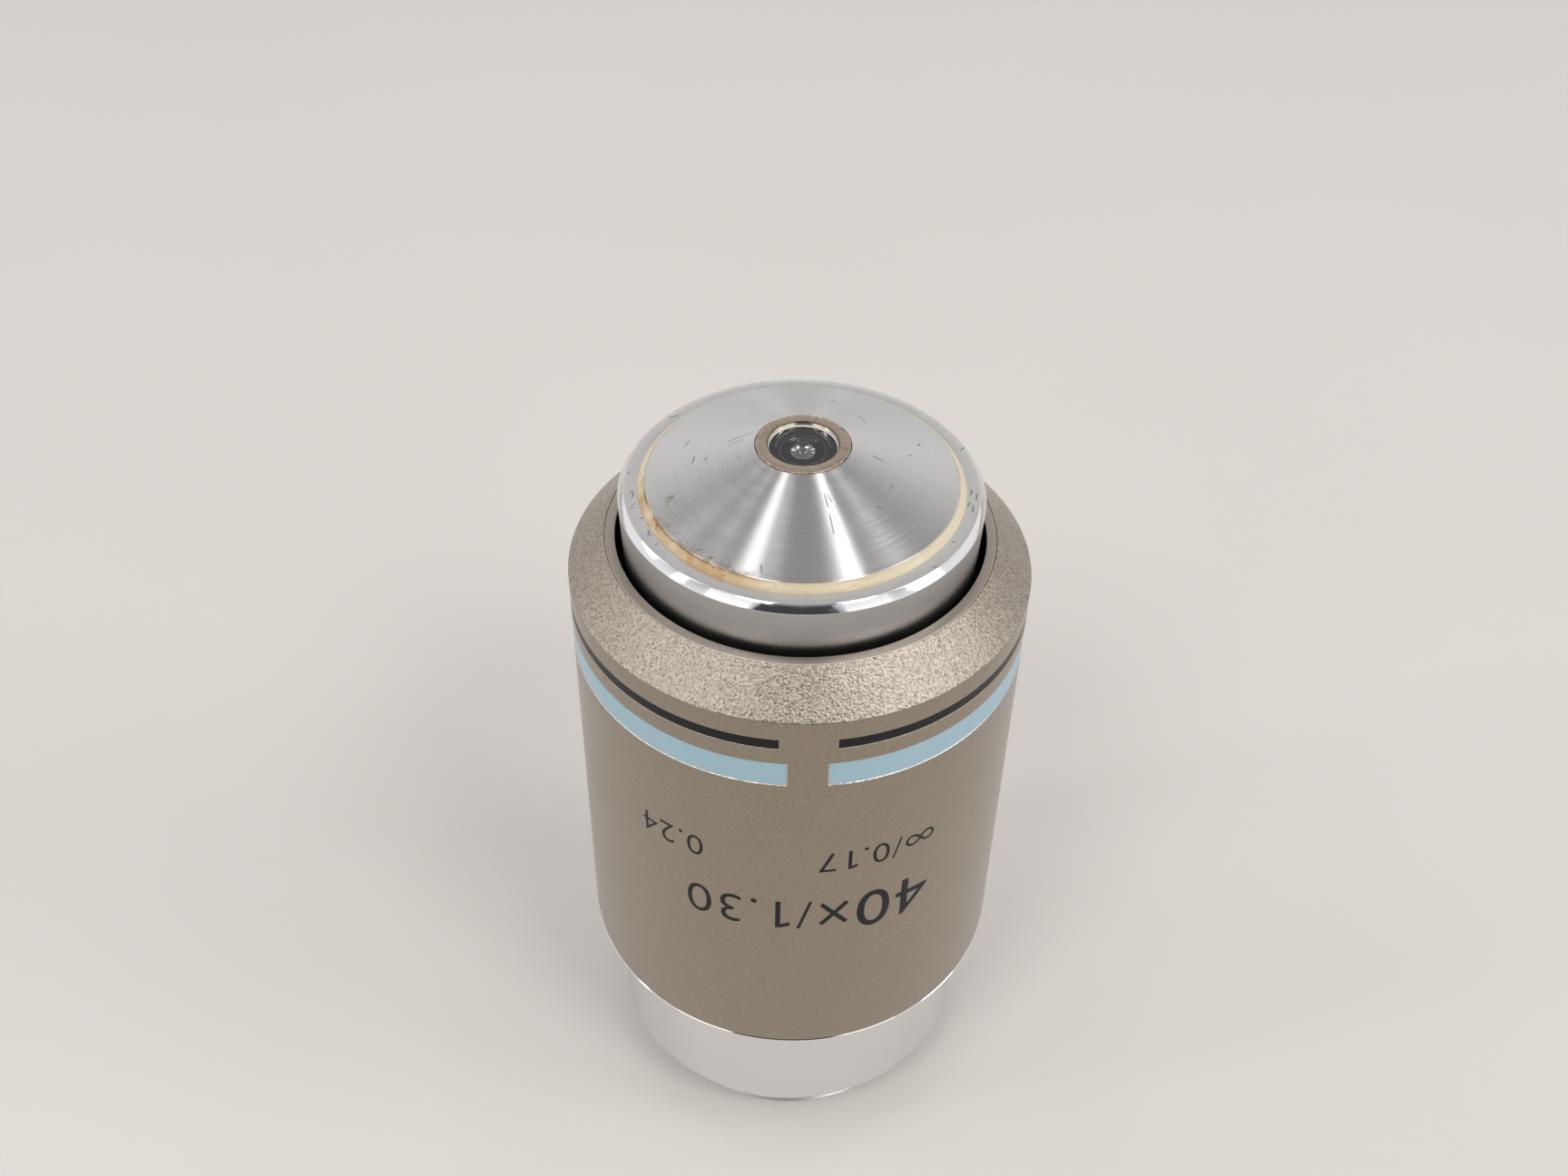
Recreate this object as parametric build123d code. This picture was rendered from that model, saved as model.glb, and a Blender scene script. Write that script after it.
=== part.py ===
from build123d import *
import os
from dataclasses import dataclass
from math import copysign, cos, radians, sqrt, tan

# Immersion objective for a microscope, with a sprung lens unit. Millimetres.
# The origin is the middle of the mounting thread's end face, and +Z runs along the optical axis to the front
# lens, so the part stands on its thread. The break in the colour bands faces -Y.
# Turned pieces are drawn as half sections, with each point given as (radius, height).
# Radii grow outwards from the mounting thread by named walls, and heights hang from the front face.

# Seating in the microscope
parfocal_distance = 60.0
working_distance = 0.24
thread_radius = 12.5
thread_length = 5.0
thread_lead = 0.5
collar_height = 12.0
collar_bevel = 0.3

# Clearances: guided pieces, pieces that seat in each other, and pieces that pass without touching
running_clearance = 0.02
seat_clearance = 0.02
free_clearance = 0.3

# Mount body
thread_wall = 2.2
spring_room = 2.6
tube_wall = 1.6
ledge_rise = 17.0

# Sleeve
sleeve_seat_width = 0.5
sleeve_wall = 2.48
sleeve_foot_bevel = 0.15
front_bevel_angle = 45.0
lip_width = 0.74
mouth_gap = 0.34
mouth_depth = 5.17
nose_projection = 7.59

# Colour bands, measured down from the front bevel's lower edge, with the break in degrees
groove_depth = 0.12
paint_recess = 0.03
immersion_band_drop = 1.71
immersion_band_width = 0.83
immersion_band_break = 13.7
magnification_band_drop = 4.04
magnification_band_width = 2.12
magnification_band_break = 10.0

# Stop ring and parfocal shim
shim_thickness = 0.2
stop_ring_wall = 0.98
stop_spigot_length = 3.7
stop_flange_height = 0.8
stop_flange_inset = 0.2
notch_width = 1.6
notch_depth = 0.5

# Guide screw, with a dog point in the barrel flange's slot
guide_screw_radius = 1.0
guide_screw_rise = 3.0
guide_screw_inset = 0.2
dog_radius = 0.7
dog_reach = 1.15
guide_slot_depth = 1.4
driver_slot_width = 0.3
driver_slot_depth = 0.4

# Return spring, with a share of the wire ground off flat at each end
spring_wire = 1.2
spring_turns = 5
ground_share = 0.25

# Lens barrel
retraction = 2.5
barrel_wall = 1.08
barrel_tail_rise = 1.0
flange_length = 8.5
nose_seat_width = 1.2
front_lip_step = 1.2
front_lip_thickness = 2.2

# Nose ring, cone and seal
cone_angle = 21.1
cone_wall = 1.2
cone_skirt_wall = 1.26
bead_width = 0.53
bead_height = 0.48
bead_depth = 0.45
bead_crown = 0.05
land_width = 0.97
nose_bevel_width = 0.45
nose_bevel_height = 0.54
skirt_taper = 0.22
nose_ring_floor = 1.2

# Tip cell
tip_radius = 3.35
tip_stand = 0.06
tip_gap = 0.05
tip_bevel = 0.15
tip_neck_length = 2.16
tip_hood_wall = 1.0
tip_flange_height = 1.0
tip_flange_inset = 0.8
tip_spigot_gap = 0.2

# Lens cells
ledge_width = 0.6
ledge_thickness = 0.7
meniscus_tube_wall = 0.96
meniscus_rim = 0.1
meniscus_flange_height = 1.2
meniscus_flare = 1.8
singlet_rim = 0.15
front_doublet_rim = 0.5
spacer_wall = 1.3
pupil_stop_height = 2.0
pupil_stop_web = 0.4
pupil_radius = 5.6
retaining_ring_height = 2.2
retaining_ring_wall = 2.5
spanner_slot_width = 1.5
spanner_slot_depth = 0.9

# Lenses from the front. An airspace lies along the axis, an edge is a rim's thickness, and a face's bulge is
# measured from its rim to its pole, positive towards the front.
front_lens_recess = 0.36
front_lens_radius = 2.7
front_lens_edge = 0.7
front_lens_rear_bulge = -1.76

meniscus_airspace = 2.45
meniscus_radius = 4.2
meniscus_front_bulge = -1.05
meniscus_edge = 1.7
meniscus_rear_bulge = -1.85

singlet_airspace = 1.95
singlet_cell_wall = 2.98
singlet_front_bulge = -0.65
singlet_edge = 2.2
singlet_rear_bulge = -2.03

front_doublet_airspace = 0.35
front_doublet_cell_wall = 1.76
front_doublet_front_bulge = 1.81
front_doublet_crown_edge = 0.93
front_doublet_cement_bulge = -2.86
front_doublet_flint_edge = 3.53
front_doublet_rear_bulge = -0.93

middle_doublet_airspace = 0.35
middle_doublet_cell_wall = 1.96
middle_doublet_front_bulge = 1.1
middle_doublet_flint_edge = 3.05
middle_doublet_cement_bulge = 2.86
middle_doublet_crown_edge = 0.93
middle_doublet_rear_bulge = -1.21

gauss_front_airspace = 0.4
gauss_front_cell_wall = 2.26
gauss_front_front_bulge = 1.9
gauss_front_crown_edge = 1.6
gauss_front_cement_bulge = -0.9
gauss_front_flint_edge = 4.4
gauss_front_rear_bulge = 1.9
gauss_front_rear_rim = 1.4

gauss_rear_airspace = 7.0
gauss_rear_cell_wall = 1.86
gauss_rear_front_bulge = -1.7
gauss_rear_front_rim = 1.6
gauss_rear_flint_edge = 3.8
gauss_rear_cement_bulge = 1.0
gauss_rear_crown_edge = 1.2
gauss_rear_rear_bulge = -1.9

# Radii that follow from the walls
guide_radius = thread_radius - thread_wall
chamber_radius = guide_radius + spring_room
tube_radius = chamber_radius + tube_wall
collar_radius = tube_radius + sleeve_seat_width
sleeve_bore = tube_radius + seat_clearance
sleeve_radius = sleeve_bore + sleeve_wall
barrel_radius = guide_radius - running_clearance
barrel_bore = barrel_radius - barrel_wall
flange_radius = chamber_radius - running_clearance
cell_radius = barrel_bore - seat_clearance
stop_spigot_radius = chamber_radius - seat_clearance
stop_bore = stop_spigot_radius - stop_ring_wall
neck_radius = stop_bore - free_clearance
nose_spigot_radius = neck_radius - nose_seat_width
nose_spigot_bore = nose_spigot_radius + seat_clearance
cone_skirt_radius = nose_spigot_bore + cone_skirt_wall
nose_ring_bore = cone_skirt_radius + seat_clearance
cone_base_radius = nose_ring_bore - bead_width
land_radius = nose_ring_bore + land_width
nose_radius = land_radius + nose_bevel_width
mouth_radius = nose_radius + mouth_gap
lip_radius = mouth_radius + lip_width

# Heights that follow from the front face and the shoulder
shoulder_height = thread_length
tip_height = shoulder_height + parfocal_distance - working_distance
foot_height = shoulder_height + collar_height
lip_height = tip_height - nose_projection
front_edge_height = lip_height - (sleeve_radius - lip_radius) * tan(radians(front_bevel_angle))
ledge_height = shoulder_height + ledge_rise
tube_end_height = lip_height - mouth_depth
stop_seat_height = tube_end_height + shim_thickness
stop_height = stop_seat_height - stop_spigot_length
stop_top_height = stop_seat_height + stop_flange_height
flange_bottom_height = stop_height - flange_length
nose_seat_height = stop_top_height + retraction + free_clearance
nose_floor_height = nose_seat_height + nose_ring_floor
cone_slope = tan(radians(cone_angle))
cone_hole_radius = tip_radius + tip_gap
cone_top_height = tip_height - tip_stand
cone_base_height = cone_top_height - (cone_base_radius - cone_hole_radius) * cone_slope
land_height = cone_base_height - bead_height
groove_height = land_height - bead_depth


@dataclass
class LensFace:
    """A spherical lens face: its rim's height, its bulge towards the front, and how far out it is polished."""

    rim: float
    bulge: float
    reach: float

    @property
    def pole(self):
        """Height of the face on the axis."""
        return self.rim + self.bulge

    def height(self, radius):
        """Height of the face at a radius, level with the rim beyond the polished zone."""
        if radius >= self.reach or self.bulge == 0:
            return self.rim
        ball = (self.reach**2 + self.bulge**2) / (2 * abs(self.bulge))
        fall = ball - sqrt(ball**2 - radius**2)
        return self.pole - copysign(fall, self.bulge)

    def section(self, inner, outer):
        """Edges of the face's half section between two radii: an arc, then the flat rim."""
        polished = max(inner, min(outer, self.reach))
        edges = []
        if polished > inner:
            stops = (inner, (inner + polished) / 2, polished)
            points = [at(radius, self.height(radius)) for radius in stops]
            edges.append(ThreePointArc(*points) if self.bulge else Line(points[0], points[-1]))
        if outer > polished:
            edges.append(Line(at(polished, self.rim), at(outer, self.rim)))
        return edges


def at(radius, height):
    """Point of a half section."""
    return (radius, 0, height)


def turned(*outline):
    """Solid of revolution with a straight-sided half section."""
    return revolve(make_face(Polyline(*[at(*corner) for corner in outline], close=True)), Axis.Z)


def lens(front, rear, radius):
    """Lens element between two faces, with a cylindrical edge."""
    edge = Line(at(radius, front.rim), at(radius, rear.rim))
    axis = Line(at(0, rear.pole), at(0, front.pole))
    return revolve(make_face([*front.section(0, radius), edge, *rear.section(0, radius), axis]), Axis.Z)


def ledge_bottom(seat, radius):
    """Underside of the ledge that carries a lens by the outer zone of its rear face."""
    return seat.height(radius - ledge_width) - ledge_thickness


def lens_cell(top, seat, radius):
    """Plain ring cell, bored from the front for a lens that rests on a ledge shaped to its rear face."""
    ledge = radius - ledge_width
    pocket = radius + seat_clearance
    bottom = ledge_bottom(seat, radius)
    wall = Polyline(
        at(pocket, seat.rim),
        at(pocket, top),
        at(cell_radius, top),
        at(cell_radius, bottom),
        at(ledge, bottom),
        at(ledge, seat.height(ledge)),
    )
    return revolve(make_face([*wall.edges(), *seat.section(ledge, pocket)]), Axis.Z)


def cross_slots(radius, height, width, depth):
    """Pair of opposed radial slots cut into a ring's end face."""
    return [Rot(0, 0, turn) * Pos(radius, 0, height) * Box(radius, width, 2 * depth) for turn in (0, 180)]


def band(inner, outer, drop, width, gap):
    """Ring sector of a colour band, open by the gap's angle towards -Y."""
    top = front_edge_height - drop
    corners = [(inner, top - width), (outer, top - width), (outer, top), (inner, top)]
    section = make_face(Polyline(*[at(*corner) for corner in corners], close=True))
    return Rot(0, 0, gap / 2 - 90) * revolve(section, Axis.Z, 360 - gap)


def rear_pin(radius, start, end, height):
    """Cylinder that points to +Y, between two distances from the axis."""
    base = (Align.CENTER, Align.CENTER, Align.MIN)
    return Plane(origin=(0, start, height), z_dir=(0, 1, 0)) * Cylinder(radius, end - start, align=base)


parts = {}

# Mount body: thread, seating collar, guide bore and spring chamber in one turning, cross-drilled for the screw
guide_screw_height = flange_bottom_height + guide_screw_rise
mount_body = turned(
    (guide_radius, 0),
    (thread_radius - thread_lead, 0),
    (thread_radius, thread_lead),
    (thread_radius, shoulder_height),
    (collar_radius - collar_bevel, shoulder_height),
    (collar_radius, shoulder_height + collar_bevel),
    (collar_radius, foot_height),
    (tube_radius, foot_height),
    (tube_radius, tube_end_height),
    (chamber_radius, tube_end_height),
    (chamber_radius, ledge_height),
    (guide_radius, ledge_height),
)
parts["mount_body"] = mount_body - rear_pin(guide_screw_radius, guide_radius, sleeve_radius, guide_screw_height)

# Sleeve: seated on the collar, with a bevelled front, a lip round the mouth and two grooves for paint
sleeve_step_height = stop_top_height + seat_clearance
sleeve = turned(
    (sleeve_bore, foot_height),
    (sleeve_radius - sleeve_foot_bevel, foot_height),
    (sleeve_radius, foot_height + sleeve_foot_bevel),
    (sleeve_radius, front_edge_height),
    (lip_radius, lip_height),
    (mouth_radius, lip_height),
    (mouth_radius, sleeve_step_height),
    (sleeve_bore, sleeve_step_height),
)
groove_floor = sleeve_radius - groove_depth
groove_clear = sleeve_radius + groove_depth
paint_face = sleeve_radius - paint_recess
bands = {
    "immersion_band": (immersion_band_drop, immersion_band_width, immersion_band_break),
    "magnification_band": (magnification_band_drop, magnification_band_width, magnification_band_break),
}
for name, place in bands.items():
    sleeve -= band(groove_floor, groove_clear, *place)
    parts[name] = band(groove_floor, paint_face, *place)
parts["sleeve"] = sleeve

# Parfocal shim and stop ring: the flange rests on the shim, and the spigot's end stops the barrel
stop_flange_radius = tube_radius - stop_flange_inset
parts["parfocal_shim"] = turned(
    (chamber_radius, tube_end_height),
    (stop_flange_radius, tube_end_height),
    (stop_flange_radius, stop_seat_height),
    (chamber_radius, stop_seat_height),
)
stop_ring = turned(
    (stop_bore, stop_height),
    (stop_spigot_radius, stop_height),
    (stop_spigot_radius, stop_seat_height),
    (stop_flange_radius, stop_seat_height),
    (stop_flange_radius, stop_top_height),
    (stop_bore, stop_top_height),
)
parts["stop_ring"] = stop_ring - cross_slots(stop_flange_radius, stop_top_height, notch_width, notch_depth)

# Guide screw: threaded shank in the tube's wall, slotted outside, with a dog point
shank_radius = guide_screw_radius - seat_clearance
shank_end = tube_radius - guide_screw_inset
dog_end = flange_radius - dog_reach
guide_screw = rear_pin(shank_radius, chamber_radius, shank_end, guide_screw_height)
guide_screw += rear_pin(dog_radius, dog_end, chamber_radius, guide_screw_height)
driver_slot = Box(2 * guide_screw_radius, 2 * driver_slot_depth, driver_slot_width)
parts["guide_screw"] = guide_screw - Pos(0, shank_end, guide_screw_height) * driver_slot

# Return spring: a coil between the ledge and the barrel's flange, with ground ends
spring_radius = (barrel_radius + chamber_radius) / 2
spring_length = flange_bottom_height - ledge_height
coil_rise = spring_length - 2 * ground_share * spring_wire
coil_start = (0, 0, ledge_height + ground_share * spring_wire)
coil = Helix(pitch=coil_rise / spring_turns, height=coil_rise, radius=spring_radius, center=coil_start)
wire = sweep(Plane(origin=coil @ 0, z_dir=coil % 0) * Circle(spring_wire / 2), path=coil, is_frenet=True)
spring_seat = (Align.CENTER, Align.CENTER, Align.MIN)
parts["return_spring"] = wire & Pos(0, 0, ledge_height) * Cylinder(chamber_radius, spring_length, align=spring_seat)

# Faces of the lenses, from the front. Each group hangs one airspace behind the group before it.
singlet_radius = cell_radius - singlet_cell_wall
front_doublet_radius = cell_radius - front_doublet_cell_wall
middle_doublet_radius = cell_radius - middle_doublet_cell_wall
gauss_front_radius = cell_radius - gauss_front_cell_wall
gauss_rear_radius = cell_radius - gauss_rear_cell_wall


def group_faces(pole, radius, bulges, edges, front_rim=0.0, rear_rim=0.0):
    """Faces of a cemented group, given its front pole, the bulge of each face and the edge of each element."""
    rim = pole - bulges[0]
    faces = [LensFace(rim, bulges[0], radius - front_rim)]
    for bulge, edge in zip(bulges[1:], edges):
        rim -= edge
        faces.append(LensFace(rim, bulge, radius))
    faces[-1].reach = radius - rear_rim
    return faces


front_lens_faces = group_faces(
    tip_height - front_lens_recess,
    front_lens_radius,
    bulges=(0.0, front_lens_rear_bulge),
    edges=(front_lens_edge,),
)
meniscus_faces = group_faces(
    front_lens_faces[-1].pole - meniscus_airspace,
    meniscus_radius,
    bulges=(meniscus_front_bulge, meniscus_rear_bulge),
    edges=(meniscus_edge,),
)
singlet_faces = group_faces(
    meniscus_faces[-1].pole - singlet_airspace,
    singlet_radius,
    bulges=(singlet_front_bulge, singlet_rear_bulge),
    edges=(singlet_edge,),
)
front_doublet_faces = group_faces(
    singlet_faces[-1].pole - front_doublet_airspace,
    front_doublet_radius,
    bulges=(front_doublet_front_bulge, front_doublet_cement_bulge, front_doublet_rear_bulge),
    edges=(front_doublet_crown_edge, front_doublet_flint_edge),
)
middle_doublet_faces = group_faces(
    front_doublet_faces[-1].pole - middle_doublet_airspace,
    middle_doublet_radius,
    bulges=(middle_doublet_front_bulge, middle_doublet_cement_bulge, middle_doublet_rear_bulge),
    edges=(middle_doublet_flint_edge, middle_doublet_crown_edge),
)
gauss_front_faces = group_faces(
    middle_doublet_faces[-1].pole - gauss_front_airspace,
    gauss_front_radius,
    bulges=(gauss_front_front_bulge, gauss_front_cement_bulge, gauss_front_rear_bulge),
    edges=(gauss_front_crown_edge, gauss_front_flint_edge),
    rear_rim=gauss_front_rear_rim,
)
gauss_rear_faces = group_faces(
    gauss_front_faces[-1].pole - gauss_rear_airspace,
    gauss_rear_radius,
    bulges=(gauss_rear_front_bulge, gauss_rear_cement_bulge, gauss_rear_rear_bulge),
    edges=(gauss_rear_flint_edge, gauss_rear_crown_edge),
    front_rim=gauss_rear_front_rim,
)
elements = [
    (front_lens_faces, front_lens_radius, ("front_lens",)),
    (meniscus_faces, meniscus_radius, ("meniscus_lens",)),
    (singlet_faces, singlet_radius, ("singlet_lens",)),
    (front_doublet_faces, front_doublet_radius, ("front_doublet_crown", "front_doublet_flint")),
    (middle_doublet_faces, middle_doublet_radius, ("middle_doublet_flint", "middle_doublet_crown")),
    (gauss_front_faces, gauss_front_radius, ("gauss_front_crown", "gauss_front_flint")),
    (gauss_rear_faces, gauss_rear_radius, ("gauss_rear_flint", "gauss_rear_crown")),
]
for faces, radius, names in elements:
    for name, front, rear in zip(names, faces, faces[1:]):
        parts[name] = lens(front, rear, radius)

# Cell stack: it is pressed against the barrel's front lip, and each cell rests on the one before it
meniscus_flange_bottom = singlet_faces[0].rim + singlet_rim
stack_height = meniscus_flange_bottom + meniscus_flange_height
singlet_bottom = ledge_bottom(singlet_faces[-1], singlet_radius)
front_doublet_top = front_doublet_faces[0].rim + front_doublet_rim
front_doublet_bottom = ledge_bottom(front_doublet_faces[-1], front_doublet_radius)
middle_doublet_bottom = ledge_bottom(middle_doublet_faces[-1], middle_doublet_radius)
gauss_front_bottom = ledge_bottom(gauss_front_faces[-1], gauss_front_radius)
gauss_rear_top = gauss_front_bottom - pupil_stop_height
gauss_rear_bottom = ledge_bottom(gauss_rear_faces[-1], gauss_rear_radius)
retaining_ring_bottom = gauss_rear_bottom - retaining_ring_height
parts["singlet_cell"] = lens_cell(meniscus_flange_bottom, singlet_faces[-1], singlet_radius)
parts["front_doublet_cell"] = lens_cell(front_doublet_top, front_doublet_faces[-1], front_doublet_radius)
parts["middle_doublet_cell"] = lens_cell(front_doublet_bottom, middle_doublet_faces[-1], middle_doublet_radius)
parts["gauss_front_cell"] = lens_cell(middle_doublet_bottom, gauss_front_faces[-1], gauss_front_radius)
parts["gauss_rear_cell"] = lens_cell(gauss_rear_top, gauss_rear_faces[-1], gauss_rear_radius)

# Meniscus cell: a flange in the barrel and a tube that reaches forward into the tip cell
meniscus_seat = meniscus_faces[-1]
meniscus_ledge = meniscus_radius - ledge_width
meniscus_pocket = meniscus_radius + seat_clearance
meniscus_tube_radius = meniscus_pocket + meniscus_tube_wall
meniscus_tube_top = meniscus_faces[0].rim + meniscus_rim
meniscus_wall = Polyline(
    at(meniscus_pocket, meniscus_seat.rim),
    at(meniscus_pocket, meniscus_tube_top),
    at(meniscus_tube_radius, meniscus_tube_top),
    at(meniscus_tube_radius, stack_height),
    at(cell_radius, stack_height),
    at(cell_radius, meniscus_flange_bottom),
    at(meniscus_ledge + meniscus_flare, meniscus_flange_bottom),
    at(meniscus_ledge, stack_height),
    at(meniscus_ledge, meniscus_seat.height(meniscus_ledge)),
)
meniscus_section = [*meniscus_wall.edges(), *meniscus_seat.section(meniscus_ledge, meniscus_pocket)]
parts["meniscus_cell"] = revolve(make_face(meniscus_section), Axis.Z)

# Spacer, pupil stop and retaining ring
spacer_bore = cell_radius - spacer_wall
parts["front_spacer"] = turned(
    (spacer_bore, front_doublet_top),
    (cell_radius, front_doublet_top),
    (cell_radius, singlet_bottom),
    (spacer_bore, singlet_bottom),
)
pupil_web_height = gauss_front_bottom - pupil_stop_web
parts["pupil_stop"] = turned(
    (spacer_bore, gauss_rear_top),
    (cell_radius, gauss_rear_top),
    (cell_radius, gauss_front_bottom),
    (pupil_radius, gauss_front_bottom),
    (pupil_radius, pupil_web_height),
    (spacer_bore, pupil_web_height),
)
retaining_ring = turned(
    (cell_radius - retaining_ring_wall, retaining_ring_bottom),
    (cell_radius, retaining_ring_bottom),
    (cell_radius, gauss_rear_bottom),
    (cell_radius - retaining_ring_wall, gauss_rear_bottom),
)
spanner_slots = cross_slots(cell_radius, retaining_ring_bottom, spanner_slot_width, spanner_slot_depth)
parts["retaining_ring"] = retaining_ring - spanner_slots

# Lens barrel: tail in the guide bore, flange in the spring chamber, neck through the stop ring
barrel_front_height = stack_height + front_lip_thickness
front_lip_radius = barrel_bore - front_lip_step
tail_height = shoulder_height + barrel_tail_rise
lens_barrel = turned(
    (barrel_bore, tail_height),
    (barrel_radius, tail_height),
    (barrel_radius, flange_bottom_height),
    (flange_radius, flange_bottom_height),
    (flange_radius, stop_height),
    (neck_radius, stop_height),
    (neck_radius, nose_seat_height),
    (nose_spigot_radius, nose_seat_height),
    (nose_spigot_radius, barrel_front_height),
    (front_lip_radius, barrel_front_height),
    (front_lip_radius, stack_height),
    (barrel_bore, stack_height),
)
slot_plane = Plane(
    origin=(0, flange_radius, guide_screw_height + retraction / 2),
    x_dir=(0, 0, 1),
    z_dir=(0, 1, 0),
)
slot_travel = retraction + 2 * free_clearance
slot_width = 2 * (dog_radius + running_clearance)
guide_slot = extrude(slot_plane * SlotCenterToCenter(slot_travel, slot_width), -guide_slot_depth)
parts["lens_barrel"] = lens_barrel - guide_slot

# Nose ring: seated on the barrel's neck, with a tapered skirt and a bright front bevel
parts["nose_ring"] = turned(
    (nose_spigot_bore, nose_seat_height),
    (nose_radius - skirt_taper, nose_seat_height),
    (nose_radius, land_height - nose_bevel_height),
    (land_radius, land_height),
    (nose_ring_bore, land_height),
    (nose_ring_bore, nose_floor_height),
    (nose_spigot_bore, nose_floor_height),
)

# Nose cone: screwed on the barrel's spigot, clamping the ring, with a ledge for the seal
cone_drop = cone_wall / cos(radians(cone_angle))
cone_inner_top = cone_top_height - cone_drop
cone_inner_base = cone_inner_top - (nose_spigot_bore - cone_hole_radius) * cone_slope
parts["nose_cone"] = turned(
    (nose_spigot_bore, nose_floor_height),
    (cone_skirt_radius, nose_floor_height),
    (cone_skirt_radius, groove_height),
    (cone_base_radius, groove_height),
    (cone_base_radius, cone_base_height),
    (cone_hole_radius, cone_top_height),
    (cone_hole_radius, cone_inner_top),
    (nose_spigot_bore, cone_inner_base),
)

# Seal bead: compound in the groove between cone and ring, with a slightly crowned fillet
bead_middle = Vector((cone_base_radius + nose_ring_bore) / 2, 0, (cone_base_height + land_height) / 2)
bead_normal = Vector(bead_height, 0, bead_width).normalized()
bead_sides = Polyline(
    at(cone_base_radius, cone_base_height),
    at(cone_base_radius, groove_height),
    at(nose_ring_bore, groove_height),
    at(nose_ring_bore, land_height),
)
bead_face = ThreePointArc(bead_sides @ 1, bead_middle + bead_normal * bead_crown, bead_sides @ 0)
parts["seal_bead"] = revolve(make_face([*bead_sides.edges(), bead_face]), Axis.Z)

# Tip cell: a flange on the barrel's front, a hood under the cone and the bored tip that holds the front lens
front_lens_plane = front_lens_faces[0].rim
front_lens_pocket = front_lens_radius + seat_clearance
front_aperture = front_lens_radius - 2 * tip_bevel
meniscus_tube_bore = meniscus_tube_radius + seat_clearance
hood_radius = meniscus_tube_bore + tip_hood_wall
neck_bottom = tip_height - tip_neck_length
hood_top = neck_bottom - (hood_radius - tip_radius) * cone_slope
hood_inner_top = neck_bottom - (front_lens_pocket - tip_radius) * cone_slope - tip_hood_wall
hood_inner_base = neck_bottom - (meniscus_tube_bore - tip_radius) * cone_slope - tip_hood_wall
tip_flange_radius = nose_spigot_radius - tip_flange_inset
tip_flange_top = barrel_front_height + tip_flange_height
tip_spigot_radius = front_lip_radius - seat_clearance
tip_spigot_bottom = stack_height + tip_spigot_gap
parts["tip_cell"] = turned(
    (front_aperture + tip_bevel, tip_height),
    (tip_radius, tip_height),
    (tip_radius, neck_bottom),
    (hood_radius, hood_top),
    (hood_radius, tip_flange_top),
    (tip_flange_radius, tip_flange_top),
    (tip_flange_radius, barrel_front_height),
    (tip_spigot_radius, barrel_front_height),
    (tip_spigot_radius, tip_spigot_bottom),
    (meniscus_tube_bore, tip_spigot_bottom),
    (meniscus_tube_bore, hood_inner_base),
    (front_lens_pocket, hood_inner_top),
    (front_lens_pocket, front_lens_plane),
    (front_aperture, front_lens_plane),
)

os.makedirs("parts", exist_ok=True)
for name, shape in parts.items():
    export_step(shape, f"parts/{name}.step")
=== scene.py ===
"""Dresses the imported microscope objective: turned pieces, engraved figures, finishes, studio and camera."""

import logging
import math
from collections.abc import Sequence
from dataclasses import dataclass
from enum import Enum
from functools import cache, reduce

import bmesh
import bpy
from mathutils import Matrix, Vector, noise


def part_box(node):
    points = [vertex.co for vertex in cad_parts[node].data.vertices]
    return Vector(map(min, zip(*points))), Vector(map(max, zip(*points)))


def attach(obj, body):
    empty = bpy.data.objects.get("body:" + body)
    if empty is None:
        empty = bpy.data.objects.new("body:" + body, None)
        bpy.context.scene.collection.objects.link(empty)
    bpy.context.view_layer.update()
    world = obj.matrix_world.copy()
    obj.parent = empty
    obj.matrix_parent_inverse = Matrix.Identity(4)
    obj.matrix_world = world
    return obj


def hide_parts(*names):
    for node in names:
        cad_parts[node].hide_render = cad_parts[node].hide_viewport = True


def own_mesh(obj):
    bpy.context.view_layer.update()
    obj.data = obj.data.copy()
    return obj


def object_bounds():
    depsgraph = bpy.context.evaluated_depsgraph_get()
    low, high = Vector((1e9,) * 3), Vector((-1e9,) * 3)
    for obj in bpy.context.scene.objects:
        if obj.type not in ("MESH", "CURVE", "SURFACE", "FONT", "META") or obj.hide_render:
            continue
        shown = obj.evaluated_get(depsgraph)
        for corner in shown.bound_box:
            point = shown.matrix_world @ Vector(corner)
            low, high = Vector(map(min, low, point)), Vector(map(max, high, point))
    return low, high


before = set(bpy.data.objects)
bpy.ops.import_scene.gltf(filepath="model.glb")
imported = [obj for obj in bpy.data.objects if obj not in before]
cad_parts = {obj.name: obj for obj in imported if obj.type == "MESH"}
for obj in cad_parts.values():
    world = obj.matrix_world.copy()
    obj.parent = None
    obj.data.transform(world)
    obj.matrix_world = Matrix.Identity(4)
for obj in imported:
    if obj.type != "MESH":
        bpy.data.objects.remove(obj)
cad_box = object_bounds()
log = logging.getLogger("objective")

MM = 0.001
WELD = 1e-7
OCTAVE_STEP = 2.0
Colour = tuple[float, float, float]


class Body(Enum):
    """The moving bodies of the objective."""

    MOUNT = "mount"
    LENS_UNIT = "lens_unit"


class Blend(Enum):
    """Ways to lay one colour over another."""

    MIX = "MIX"
    MULTIPLY = "MULTIPLY"


# Shader expressions


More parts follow.
